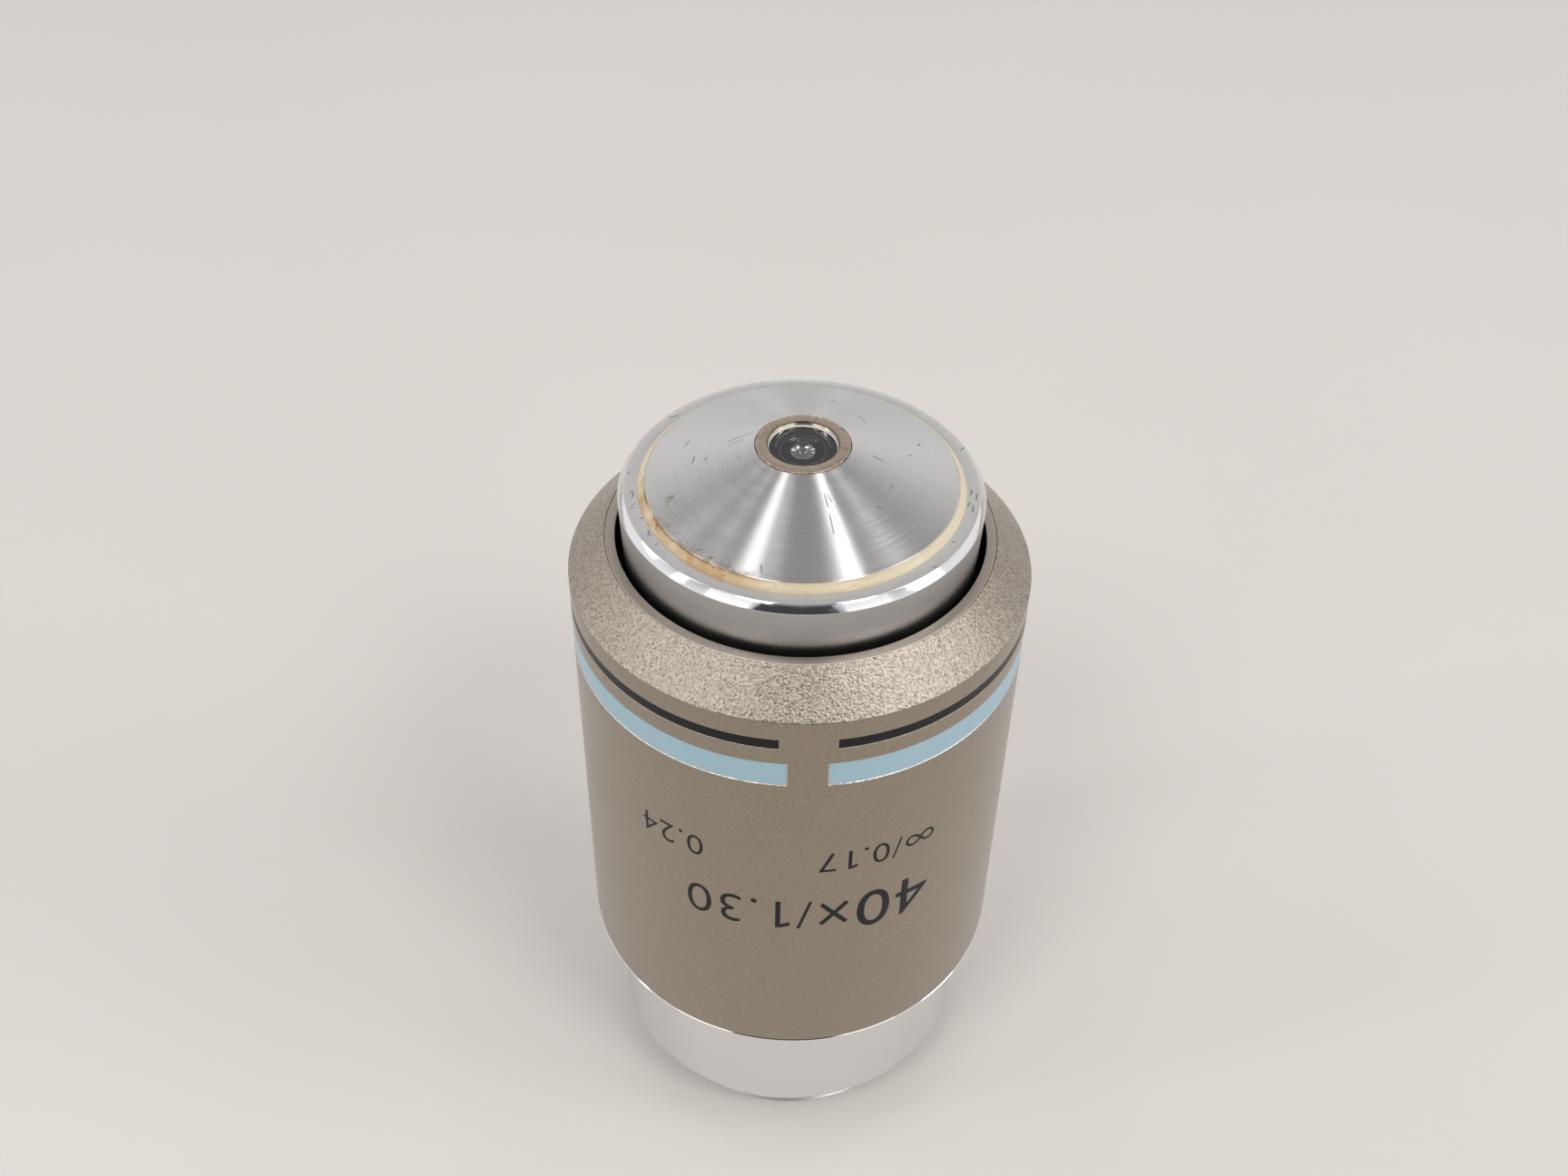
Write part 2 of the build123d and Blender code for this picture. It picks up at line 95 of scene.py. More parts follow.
class Signal:
    """A shader socket that can stand in a Python expression."""

    def __init__(self, graph: "Graph", socket: bpy.types.NodeSocket) -> None:
        """Keeps the socket and the graph that it belongs to."""
        self.graph = graph
        self.socket = socket

    def __add__(self, other: "Signal | float") -> "Signal":
        """Adds two values."""
        return self.graph.math("ADD", self, other)

    __radd__ = __add__

    def __mul__(self, other: "Signal | float") -> "Signal":
        """Multiplies two values."""
        return self.graph.math("MULTIPLY", self, other)

    __rmul__ = __mul__

    def __sub__(self, other: "Signal | float") -> "Signal":
        """Takes the other value from this one."""
        return self.graph.math("SUBTRACT", self, other)

    def __rsub__(self, other: float) -> "Signal":
        """Takes this value from a number."""
        return self.graph.math("SUBTRACT", other, self)

    def __truediv__(self, other: "Signal | float") -> "Signal":
        """Divides this value by the other."""
        return self.graph.math("DIVIDE", self, other)

    def __pow__(self, other: float) -> "Signal":
        """Raises this value to a power."""
        return self.graph.math("POWER", self, other)

    def __abs__(self) -> "Signal":
        """Drops the sign."""
        return self.graph.math("ABSOLUTE", self, 0.0)

    def rise(self, start: float, end: float) -> "Signal":
        """Gives 0 up to start, 1 from end on, and a smooth ramp between."""
        return self.graph.ramp(self, start, end)

    def between(self, low: float, high: float, soft: float) -> "Signal":
        """Gives 1 from low to high, falling to 0 over the soft width outside."""
        return self.rise(low - soft, low) * (1 - self.rise(high, high + soft))


@dataclass(frozen=True)
class Polar:
    """The point being shaded, in millimetres and radians about the optical axis.

    Azimuth is 0 at the band break and grows towards +X.
    """

    point: Signal
    radius: Signal
    azimuth: Signal
    height: Signal


@dataclass(frozen=True)
class Scratch:
    """A short mark on a turned face, in millimetres and degrees.

    A slant of 0 runs round the axis and 90 runs outwards.
    """

    radius: float
    azimuth: float
    length: float
    slant: float = 0.0
    bend: float = 0.0
    width: float = 0.10


class Graph:
    """A node tree that expressions add their nodes to.

    A mark keeps its full strength over its core and shoulder, and fades out to its edge and end.
    """

    MARK_CORE = 0.3
    MARK_EDGE = 0.7
    MARK_SHOULDER = 0.35
    MARK_END = 0.5

    def __init__(self, tree: bpy.types.NodeTree) -> None:
        """Takes the tree that the nodes go into."""
        self.tree = tree

    def node(
        self,
        kind: str,
        settings: dict[str, object],
        inputs: dict[str | int, object],
        output: str | int = 0,
    ) -> Signal:
        """Adds one node.

        Args:
            kind: The node's type.
            settings: Properties, which are set first.
            inputs: A value or a signal for each socket.
            output: The socket to return.

        Returns:
            The chosen output.
        """
        made = self.tree.nodes.new(kind)
        for name, value in settings.items():
            setattr(made, name, value)
        for name, value in inputs.items():
            self.feed(made.inputs[name], value)
        return Signal(self, made.outputs[output])

    def feed(self, socket: bpy.types.NodeSocket, value: object) -> None:
        """Links a signal to a socket, or sets a plain value on it.

        Args:
            socket: The socket to feed.
            value: A signal, a colour or a number.
        """
        if isinstance(value, Signal):
            self.tree.links.new(value.socket, socket)
        elif socket.type == "RGBA":
            socket.default_value = (*value, 1.0)
        else:
            socket.default_value = value

    def surface(self, **values: object) -> None:
        """Feeds the shader's sockets.

        Args:
            values: A value or a signal for each socket, named with underscores for spaces.
        """
        shader = self.tree.nodes["Principled BSDF"]
        for name, value in values.items():
            self.feed(shader.inputs[name.replace("_", " ")], value)

    def math(self, operation: str, a: Signal | float, b: Signal | float) -> Signal:
        """Adds a Math node."""
        return self.node("ShaderNodeMath", {"operation": operation}, {0: a, 1: b})

    def ramp(self, value: Signal, start: float, end: float) -> Signal:
        """Adds a smooth ramp from 0 at start to 1 at end."""
        inputs = {"Value": value, "From Min": start, "From Max": end}
        return self.node("ShaderNodeMapRange", {"interpolation_type": "SMOOTHSTEP"}, inputs)

    def mix(self, share: Signal | float, a: object, b: object, blend: Blend = Blend.MIX) -> Signal:
        """Lays colour b over colour a by the given share."""
        settings = {"data_type": "RGBA", "blend_type": blend.value}
        return self.node("ShaderNodeMix", settings, {0: share, 6: a, 7: b}, 2)

    def polar(self) -> Polar:
        """Reads the point being shaded.

        Returns:
            The point about the optical axis.
        """
        place = self.node("ShaderNodeTexCoord", {}, {}, "Object")
        point = self.node("ShaderNodeVectorMath", {"operation": "SCALE"}, {0: place, "Scale": 1 / MM})
        x, y, z = (self.node("ShaderNodeSeparateXYZ", {}, {0: point}, axis) for axis in "XYZ")
        return Polar(point, (x * x + y * y) ** 0.5, self.math("ARCTAN2", x, 0 - y), z)

    def vector(self, x: Signal | float, y: Signal | float, z: Signal | float) -> Signal:
        """Joins three values into a vector."""
        return self.node("ShaderNodeCombineXYZ", {}, {0: x, 1: y, 2: z})

    def shade(self, tone: Signal | Colour, level: Signal) -> Signal:
        """Makes a colour darker or lighter by a level."""
        return self.mix(1.0, tone, self.vector(level, level, level), Blend.MULTIPLY)

    def grain(self, point: Signal, scale: float, detail: float = 2.0, rough: float = 0.5) -> Signal:
        """Returns fractal noise, about 0.5 on average, with the scale per millimetre."""
        inputs = {"Vector": point, "Scale": scale, "Detail": detail, "Roughness": rough}
        return self.node("ShaderNodeTexNoise", {}, inputs)

    def scratch(self, polar: Polar, mark: Scratch) -> Signal:
        """Draws one mark.

        Args:
            polar: The point being shaded.
            mark: The mark's place and size.

        Returns:
            1 along the mark and 0 away from it.
        """
        slant = math.radians(mark.slant)
        turned = (polar.azimuth - math.radians(mark.azimuth)) * mark.radius
        outward = polar.radius - mark.radius
        along = turned * math.cos(slant) + outward * math.sin(slant)
        across = outward * math.cos(slant) - turned * math.sin(slant) - along * along * mark.bend
        line = 1 - abs(across).rise(self.MARK_CORE * mark.width, self.MARK_EDGE * mark.width)
        return line * (1 - abs(along).rise(self.MARK_SHOULDER * mark.length, self.MARK_END * mark.length))

    def scratches(self, polar: Polar, marks: Sequence[Scratch]) -> Signal:
        """Returns 1 along any of the marks."""
        lines = (self.scratch(polar, mark) for mark in marks)
        return reduce(lambda a, b: self.math("MAXIMUM", a, b), lines)

    def bump(self, height: Signal, strength: float, depth: float) -> Signal:
        """Turns a height into a normal, with the depth in millimetres."""
        inputs = {"Strength": strength, "Distance": depth * MM, "Height": height}
        return self.node("ShaderNodeBump", {}, inputs)


# Finishes


@dataclass(frozen=True)
class Finish:
    """A material that is made once and shared."""

    name: str

    @cache
    def material(self) -> bpy.types.Material:
        """Makes the material on the first call.

        Returns:
            The material.
        """
        made = bpy.data.materials.new(self.name)
        made.use_nodes = True
        self.wire(Graph(made.node_tree))
        return made

    def wire(self, graph: Graph) -> None:
        """Wires the finish into the graph."""
        raise NotImplementedError


@dataclass(frozen=True)
class ChampagneSatin(Finish):
    """Bead-blasted champagne metal under lacquer, with a smoother lip, bright cut edges and a black bore."""

    tone: Colour = (0.290, 0.240, 0.180)
    bevel_tone: Colour = (0.39, 0.34, 0.285)
    lip_tone: Colour = (0.54, 0.475, 0.41)
    cut_tone: Colour = (0.96, 0.94, 0.91)
    bore_tone: Colour = (0.006, 0.006, 0.006)
    roughness: float = 0.34
    bevel_polish: float = 0.04
    cut_polish: float = 0.26
    lip_rough: float = 0.14
    grain_rough: float = 0.24
    cloud_rough: float = 0.06
    coat_roughness: float = 0.40
    bevel_bareness: float = 0.7
    grain_depth: float = 0.075
    mean_level: float = 0.98
    grain_swing: float = 0.7
    bevel_swing: float = 1.5
    cloud_swing: float = 0.08
    bevel_foot: float = 54.37
    lip_radius: float = 14.2
    lip_foot: float = 57.0
    lip_height: float = 57.12
    bore_radius: float = 13.5
    foot_cut_low: float = 17.14
    foot_cut_high: float = 17.27
    cut_edge: float = 0.07
    band_bottom: float = 48.21
    band_top: float = 50.33
    band_half_gap: float = 5.0
    band_end_edge: float = 0.30
    band_cut_share: float = 0.45

    def cut(self, graph: Graph, polar: Polar) -> Signal:
        """Finds where a tool has cut through the blasted skin.

        Args:
            graph: The material's graph.
            polar: The point being shaded.

        Returns:
            1 at the foot, less at the wide band's edges and 0 elsewhere.
        """
        foot = polar.height.between(self.foot_cut_low, self.foot_cut_high, soft=0.01)
        bottom = self.band_bottom - self.cut_edge
        level = polar.height.between(bottom, self.band_top + self.cut_edge, soft=0.02)
        start = math.radians(self.band_half_gap - self.band_end_edge)
        side = abs(polar.azimuth).rise(start, start + math.radians(0.10))
        return graph.math("MAXIMUM", foot, self.band_cut_share * level * side)

    def wire(self, graph: Graph) -> None:
        """Wires blasted grain, soft mottling, the lip, the cut edges and the bore.

        Args:
            graph: The material's graph.
        """
        polar = graph.polar()
        grain = graph.grain(polar.point, scale=5.6, detail=2.0, rough=0.6)
        cloud = graph.grain(polar.point, scale=0.22, detail=3.0)
        cut = self.cut(graph, polar)
        lip = 1 - polar.radius.rise(self.lip_radius - 0.06, self.lip_radius)
        lip = lip * polar.height.rise(self.lip_foot, self.lip_foot + 0.1)
        inside = 1 - polar.radius.rise(self.bore_radius, self.bore_radius + 0.03)
        bore = inside * (1 - polar.height.rise(self.lip_height - 0.02, self.lip_height))
        blasted = (1 - lip) * (1 - cut)
        bevel = polar.height.rise(self.bevel_foot - 0.02, self.bevel_foot + 0.04)
        swing = self.grain_swing + self.bevel_swing * bevel
        level = self.mean_level + swing * (grain - 0.5) + self.cloud_swing * (cloud - 0.5)
        tone = graph.mix(bevel, self.tone, self.bevel_tone)
        tone = graph.shade(tone, level)
        tone = graph.mix(lip, tone, self.lip_tone)
        tone = graph.mix(cut, tone, self.cut_tone)
        tone = graph.mix(bore, tone, self.bore_tone)
        rough = self.roughness - self.bevel_polish * bevel - self.cut_polish * cut + self.lip_rough * lip
        rough = rough + self.grain_rough * (grain - 0.5) * blasted + self.cloud_rough * (cloud - 0.5)
        graph.surface(
            Base_Color=tone,
            Metallic=1 - bore,
            Roughness=rough,
            Coat_Weight=blasted * (1 - bore) * (1 - self.bevel_bareness * bevel),
            Coat_Roughness=self.coat_roughness,
            Normal=graph.bump(grain * blasted, strength=1.0, depth=self.grain_depth),
        )


@dataclass(frozen=True)
class PolishedChrome(Finish):
    """Bright plating with faint wipe marks, over a duller cut thread and a blackened bore."""

    tone: Colour = (0.75, 0.75, 0.755)
    thread_tone: Colour = (0.52, 0.51, 0.50)
    bore_tone: Colour = (0.02, 0.02, 0.02)
    wipe_tone: Colour = (0.62, 0.61, 0.60)
    wipe_share: float = 0.14
    polish: float = 0.05
    wipe_rough: float = 0.09
    thread_rough: float = 0.28
    bore_rough: float = 0.4
    bore_radius: float = 10.45
    thread_top: float = 4.98

    def wire(self, graph: Graph) -> None:
        """Wires the plating, its wipe marks, the thread and the guide bore.

        Args:
            graph: The material's graph.
        """
        polar = graph.polar()
        wiped = graph.vector(polar.azimuth * 3.0, polar.height * 0.8, polar.radius)
        wipe = graph.grain(wiped, scale=1.0, detail=4.0)
        turned = graph.vector(polar.azimuth * 8.0, polar.height * 14.0, polar.radius * 14.0)
        fine = graph.grain(turned, scale=1.0, detail=2.0)
        bore = 1 - polar.radius.rise(self.bore_radius, self.bore_radius + 0.05)
        thread = 1 - polar.height.rise(self.thread_top - 0.05, self.thread_top)
        tone = graph.mix(self.wipe_share * wipe, self.tone, self.wipe_tone)
        tone = graph.mix(thread, tone, self.thread_tone)
        rough = self.polish + self.wipe_rough * wipe + self.thread_rough * thread + self.bore_rough * bore
        graph.surface(
            Base_Color=graph.mix(bore, tone, self.bore_tone),
            Metallic=1 - 0.7 * bore,
            Roughness=rough,
            Normal=graph.bump(fine, strength=0.05, depth=0.004),
        )


@dataclass(frozen=True)
class TurnedCone(Finish):
    """Satin cone with circular tool marks, nicks and stains."""

    tone: Colour = (0.71, 0.70, 0.69)
    stain_tone: Colour = (0.26, 0.19, 0.13)
    nick_tone: Colour = (0.08, 0.075, 0.07)
    base_radius: float = 11.17
    mean_level: float = 0.86
    ring_swing: float = 0.32
    cloud_swing: float = 0.08
    roughness: float = 0.24
    ring_rough: float = 0.12
    mark_rough: float = 0.15
    nick_share: float = 0.6
    pit_share: float = 0.5
    stain_share: float = 0.85
    tool_turn: float = 0.25
    nicks: tuple[Scratch, ...] = (
        Scratch(7.66, -93.3, 0.9, 7.0, 0.5),
        Scratch(6.79, -90.6, 0.4, 50.0, 0.0, 0.12),
        Scratch(8.58, -108.7, 0.8, 17.0),
        Scratch(7.80, 160.9, 0.6, 10.0, 0.0, 0.14),
        Scratch(5.25, 81.3, 0.9, 104.0),
        Scratch(8.84, 106.7, 0.3, 30.0, 0.0, 0.16),
        Scratch(7.67, 95.5, 0.4, 80.0),
        Scratch(4.60, -109.0, 2.1, 62.0, 0.0, 0.07),
        Scratch(4.75, -101.0, 1.2, 70.0, 0.0, 0.06),
        Scratch(5.45, 14.5, 1.2, 92.0, 0.0, 0.12),
        Scratch(5.30, 17.5, 0.8, 80.0, 0.0, 0.08),
        Scratch(7.16, 13.5, 1.7, 94.0, 0.0, 0.12),
        Scratch(10.47, -17.1, 0.7, 70.0, 0.3, 0.18),
        Scratch(6.16, 134.0, 1.4, 18.0, 0.0, 0.07),
        Scratch(7.19, 43.5, 0.5, 40.0, 1.5, 0.08),
    )
    blots: tuple[Scratch, ...] = (
        Scratch(9.70, -71.7, 1.3, 20.0, 0.0, 0.7),
        Scratch(10.85, -40.0, 2.4, 5.0, 0.0, 0.5),
        Scratch(4.60, -78.6, 0.4, 0.0, 0.0, 0.25),
    )

    def wire(self, graph: Graph) -> None:
        """Wires tool marks, scratches and the stain along the bead.

        Args:
            graph: The material's graph.
        """
        polar = graph.polar()
        turned = graph.vector(polar.radius * 5.0, polar.azimuth * 0.5, 0.0)
        rings = graph.grain(turned, scale=1.0, detail=4.0, rough=0.85)
        pits = graph.grain(polar.point, scale=1.1, detail=5.0, rough=0.7).rise(0.68, 0.74)
        cloud = graph.grain(polar.point, scale=0.28, detail=3.0)
        left = polar.azimuth.between(-1.0, -0.5, soft=0.35)
        rim = polar.radius.rise(self.base_radius - 0.8, self.base_radius - 0.05)
        patchy = graph.grain(polar.point, scale=1.6, detail=4.0, rough=0.65).rise(0.40, 0.64)
        stain = patchy * graph.math("MAXIMUM", rim * left, graph.scratches(polar, self.blots))
        nicks = self.nick_share * graph.scratches(polar, self.nicks)
        marks = graph.math("MAXIMUM", nicks, pits * self.pit_share)
        level = self.mean_level + self.ring_swing * rings + self.cloud_swing * (cloud - 0.5)
        tone = graph.shade(self.tone, level)
        tone = graph.mix(stain * self.stain_share, tone, self.stain_tone)
        rough = self.roughness + self.ring_rough * (rings - 0.5) + self.mark_rough * marks
        graph.surface(
            Base_Color=graph.mix(marks, tone, self.nick_tone),
            Metallic=1.0 - 0.4 * stain,
            Roughness=rough + self.cloud_swing * (cloud - 0.5),
            Anisotropic=1.0,
            Anisotropic_Rotation=self.tool_turn,
            Normal=graph.bump(rings - marks, strength=0.10, depth=0.010),
        )


@dataclass(frozen=True)
class NoseChrome(Finish):
    """Ring round the nose: satin land and skirt, polished bevel, with painted shade darkening the skirt."""

    tone: Colour = (0.87, 0.86, 0.85)
    # Painted shade: a darker copy of the same chrome, used for the skirt below the bevel.
    skirt_shade_tone: Colour = (0.45, 0.45, 0.455)
    bevel_tone: Colour = (0.86, 0.86, 0.87)
    nick_tone: Colour = (0.05, 0.042, 0.035)
    land_radius: float = 12.67
    bevel_height: float = 60.68
    land_height: float = 61.22
    mean_level: float = 0.94
    level_swing: float = 0.08
    satin: float = 0.34
    satin_swing: float = 0.10
    polish: float = 0.06
    blotch_rough: float = 0.10
    blotch_share: float = 0.4
    nick_share: float = 0.65
    nicks: tuple[Scratch, ...] = (
        Scratch(11.98, -84.5, 0.7, 5.0, 0.8),
        Scratch(12.10, -85.8, 0.4, 60.0, -0.8),
        Scratch(12.05, -79.4, 0.3, 75.0),
        Scratch(12.26, -77.8, 0.3, 85.0),
        Scratch(11.92, -63.8, 0.5, 30.0, 3.0, 0.11),
        Scratch(11.98, -62.6, 0.4, 100.0, -2.0),
        Scratch(12.39, -96.1, 0.25, 20.0),
        Scratch(12.04, -57.3, 0.3, 70.0, 1.0),
        Scratch(11.84, -71.5, 0.4, 80.0, 1.5),
        Scratch(12.21, -131.0, 0.9, 25.0),
        Scratch(12.45, 107.9, 0.6, 55.0),
        Scratch(11.98, 84.3, 0.7, 8.0, 0.4),
        Scratch(12.22, 75.7, 0.9, -6.0, -0.3),
        Scratch(12.36, 82.1, 0.8, 4.0),
        Scratch(11.86, 77.7, 0.6, 12.0, 0.6),
        Scratch(12.05, 57.1, 0.3, 50.0),
        Scratch(12.50, 43.3, 0.35, 20.0),
    )

    def wire(self, graph: Graph) -> None:
        """Wires the three zones, with painted shade on the skirt, tool marks and hair-like nicks on the land.

        Args:
            graph: The material's graph.
        """
        polar = graph.polar()
        bevel = polar.radius.rise(self.land_radius - 0.02, self.land_radius + 0.02)
        bevel = bevel * polar.height.rise(self.bevel_height - 0.03, self.bevel_height + 0.01)
        land = polar.height.rise(self.land_height - 0.03, self.land_height - 0.005)
        turned = graph.vector(polar.radius * 24.0, polar.height * 24.0, polar.azimuth)
        rings = graph.grain(turned, scale=1.0, detail=3.0, rough=0.7)
        cloud = graph.grain(polar.point, scale=0.5, detail=3.0)
        nicks = self.nick_share * graph.scratches(polar, self.nicks) * land
        handled = graph.vector(polar.azimuth * 13.0, polar.height * 2.0, 0.0)
        blotch = graph.grain(handled, scale=0.9, detail=4.0).rise(0.45, 0.75)
        level = self.mean_level + self.level_swing * rings + self.level_swing * (cloud - 0.5)
        # The skirt below the bevel takes the darker tone: painted shade, not a different finish.
        skirt = 1 - polar.height.rise(self.bevel_height - 0.05, self.bevel_height - 0.01)
        tone = graph.mix(skirt, self.tone, self.skirt_shade_tone)
        tone = graph.shade(tone, level)
        tone = graph.mix(bevel * (1 - self.blotch_share * blotch), tone, self.bevel_tone)
        satin = self.satin + self.satin_swing * (rings - 0.5) + self.satin_swing * (cloud - 0.5)
        graph.surface(
            Base_Color=graph.mix(nicks, tone, self.nick_tone),
            Metallic=1.0,
            Roughness=satin - bevel * (satin - self.polish - self.blotch_rough * blotch),
            Normal=graph.bump(rings * (1 - bevel) - nicks, strength=0.08, depth=0.012),
        )


@dataclass(frozen=True)
class SealCompound(Finish):
    """Cured cream compound, browned and dirty on one side."""

    tone: Colour = (0.72, 0.64, 0.47)
    aged_tone: Colour = (0.50, 0.31, 0.13)
    dirt_tone: Colour = (0.16, 0.09, 0.04)
    inner_radius: float = 11.17
    most_aged: float = 0.95
    dirt_share: float = 0.8

    def wire(self, graph: Graph) -> None:
        """Wires the ageing towards the left, a dirty seam at the cone and specks of dirt.

        Args:
            graph: The material's graph.
        """
        polar = graph.polar()
        cloud = graph.grain(polar.point, scale=0.7, detail=4.0, rough=0.6)
        left = polar.azimuth.between(-1.30, -0.60, soft=0.45)
        front = polar.azimuth.between(-0.6, 0.3, soft=0.5)
        aged = left * (0.30 + 2.2 * (cloud - 0.35)) + 0.20 * front + 0.10 * cloud
        seam = 1 - polar.radius.rise(self.inner_radius + 0.04, self.inner_radius + 0.16)
        seam = seam * (0.15 + 0.85 * left)
        specks = graph.grain(polar.point, scale=2.3, detail=4.0, rough=0.65).rise(0.60, 0.68)
        specks = specks * (0.2 + 0.8 * left)
        dirt = graph.math("MAXIMUM", specks, seam * cloud.rise(0.35, 0.55))
        lumps = graph.grain(polar.point, scale=1.5, detail=3.0)
        tone = graph.mix(graph.math("MINIMUM", aged, self.most_aged), self.tone, self.aged_tone)
        graph.surface(
            Base_Color=graph.mix(dirt * self.dirt_share, tone, self.dirt_tone),
            Roughness=0.20 + 0.20 * cloud + 0.3 * dirt,
            Normal=graph.bump(lumps, strength=0.4, depth=0.08),
        )


@dataclass(frozen=True)
class WornNickel(Finish):
    """Tarnished plating on the front lens's cell, rubbed bright at its inner edge."""

    tone: Colour = (0.51, 0.42, 0.335)
    dark_tone: Colour = (0.22, 0.165, 0.12)
    bright_tone: Colour = (0.80, 0.70, 0.52)
    chip_tone: Colour = (0.78, 0.72, 0.62)
    cement_tone: Colour = (0.86, 0.84, 0.82)
    black_tone: Colour = (0.008, 0.008, 0.008)
    inner_radius: float = 2.60
    outer_radius: float = 3.30
    lens_plane: float = 64.40
    tarnish_share: float = 0.6
    edge_share: float = 0.5
    chip_share: float = 0.8
    rub_share: float = 0.8
    mouth_share: float = 0.9
    roughness: float = 0.36
    rub_polish: float = 0.16

    def wire(self, graph: Graph) -> None:
        """Wires tarnish, the rubbed inner edge, the ragged outer edge and the blackened inside.

        Args:
            graph: The material's graph.
        """
        polar = graph.polar()
        cloud = graph.grain(polar.point, scale=1.8, detail=5.0, rough=0.65)
        turned = graph.vector(polar.radius * 30.0, polar.azimuth, 0.0)
        rings = graph.grain(turned, scale=1.0, detail=2.0)
        ragged = graph.grain(polar.point, scale=5.0, detail=4.0, rough=0.7)
        inner = 1 - polar.radius.rise(self.inner_radius - 0.05, self.inner_radius)
        outer = polar.radius.rise(self.outer_radius - 0.10, self.outer_radius)
        mouth = inner * polar.height.rise(self.lens_plane + 0.27, self.lens_plane + 0.29)
        cement = inner * (1 - polar.height.rise(self.lens_plane + 0.11, self.lens_plane + 0.13))
        black = 1 - polar.height.rise(self.lens_plane - 0.03, self.lens_plane - 0.02)
        tone = graph.mix(cloud.rise(0.45, 0.8) * self.tarnish_share, self.tone, self.dark_tone)
        tone = graph.mix(outer * ragged.rise(0.52, 0.6) * self.edge_share, tone, self.dark_tone)
        chips = outer * (1 - ragged.rise(0.42, 0.48))
        tone = graph.mix(chips * self.chip_share, tone, self.chip_tone)
        tone = graph.mix(inner * self.rub_share, tone, self.bright_tone)
        tone = graph.mix(mouth * self.mouth_share, tone, self.black_tone)
        tone = graph.mix(cement, tone, self.cement_tone)
        graph.surface(
            Base_Color=graph.mix(black, tone, self.black_tone),
            Metallic=0.9 * (1 - black) * (1 - cement),
            Roughness=self.roughness + 0.2 * (cloud - 0.5) - self.rub_polish * inner + 0.3 * black,
            Normal=graph.bump(rings + cloud, strength=0.12, depth=0.015),
        )


@dataclass(frozen=True)
class Enamel(Finish):
    """Paint in an engraved groove, with a slight orange peel."""

    tone: Colour = (0.005, 0.006, 0.008)
    roughness: float = 0.34
    gloss: float = 0.2

    def wire(self, graph: Graph) -> None:
        """Wires the peel and a faint change of tone.

        Args:
            graph: The material's graph.
        """
        polar = graph.polar()
        peel = graph.grain(polar.point, scale=2.4, detail=2.0)
        cloud = graph.grain(polar.point, scale=0.4, detail=3.0)
        level = 0.95 + 0.10 * cloud
        graph.surface(
            Base_Color=graph.shade(self.tone, level),
            Roughness=self.roughness + 0.14 * (cloud - 0.5),
            Specular_IOR_Level=self.gloss,
            Normal=graph.bump(peel, strength=0.12, depth=0.02),
        )


@dataclass(frozen=True)
class BlackCoat(Finish):
    """Matt black coat with bare metal showing faintly through its tool marks."""

    tone: Colour = (0.011, 0.011, 0.012)
    rub_tone: Colour = (0.06, 0.055, 0.05)

    def wire(self, graph: Graph) -> None:
        """Wires tool marks and rubbed spots.

        Args:
            graph: The material's graph.
        """
        polar = graph.polar()
        turned = graph.vector(polar.radius * 18.0, polar.height * 18.0, polar.azimuth)
        rings = graph.grain(turned, scale=1.0, detail=2.0)
        rub = graph.grain(polar.point, scale=1.2, detail=4.0, rough=0.7).rise(0.62, 0.80)
        graph.surface(
            Base_Color=graph.mix(rub * 0.5, self.tone, self.rub_tone),
            Metallic=0.3 * rub,
            Roughness=0.55 + 0.2 * (rings - 0.5) - 0.1 * rub,
            Normal=graph.bump(rings, strength=0.10, depth=0.01),
        )


@dataclass(frozen=True)
class CoatedGlass(Finish):
    """Polished optical glass, black beyond a radius, with a reflecting rear face: a blackened edge on the
    inner lenses, painted shade across the front lens's face.
    """

    tint: Colour = (0.985, 0.99, 0.985)
    black_edge_and_shade_tone: Colour = (0.002, 0.002, 0.002)
    coat_tint: Colour = (1.0, 0.95, 0.97)
    black_edge_and_shade_radius: float = 9.0
    index: float = 1.80
    rear_top: float = 64.30
    rear_index: float = 2.3

    def wire(self, graph: Graph) -> None:
        """Wires clear glass with a trace of dust and the black outer zone, which is painted shade on the
        front lens.

        Args:
            graph: The material's graph.
        """
        polar = graph.polar()
        dust = graph.grain(polar.point, scale=3.0, detail=3.0).rise(0.66, 0.78)
        # Black beyond the radius: the inner lenses' blackened edges, and painted shade over the front lens's
        # outer face.
        rim = polar.radius.rise(self.black_edge_and_shade_radius, self.black_edge_and_shade_radius + 0.05)
        graph.surface(
            Base_Color=graph.mix(rim, self.tint, self.black_edge_and_shade_tone),
            Roughness=0.004 + 0.05 * dust,
            IOR=self.index,
            Transmission_Weight=1.0,
            Coat_Weight=1 - polar.height.rise(self.rear_top, self.rear_top + 0.05),
            Coat_IOR=self.rear_index,
            Coat_Tint=self.coat_tint,
        )


@dataclass(frozen=True)
class DrawnSteel(Finish):
    """Ground and drawn steel with a light oil film."""

    tone: Colour = (0.50, 0.50, 0.505)
    film_tone: Colour = (0.36, 0.34, 0.31)

    def wire(self, graph: Graph) -> None:
        """Wires draw marks and the uneven film.

        Args:
            graph: The material's graph.
        """
        polar = graph.polar()
        film = graph.grain(polar.point, scale=0.8, detail=4.0)
        along = graph.vector(polar.azimuth * 6.0, polar.height * 9.0, polar.radius * 9.0)
        drawn = graph.grain(along, scale=1.0, detail=2.0)
        graph.surface(
            Base_Color=graph.mix(film * 0.5, self.tone, self.film_tone),
            Metallic=1.0,
            Roughness=0.24 + 0.16 * film,
            Normal=graph.bump(drawn, strength=0.12, depth=0.01),
        )


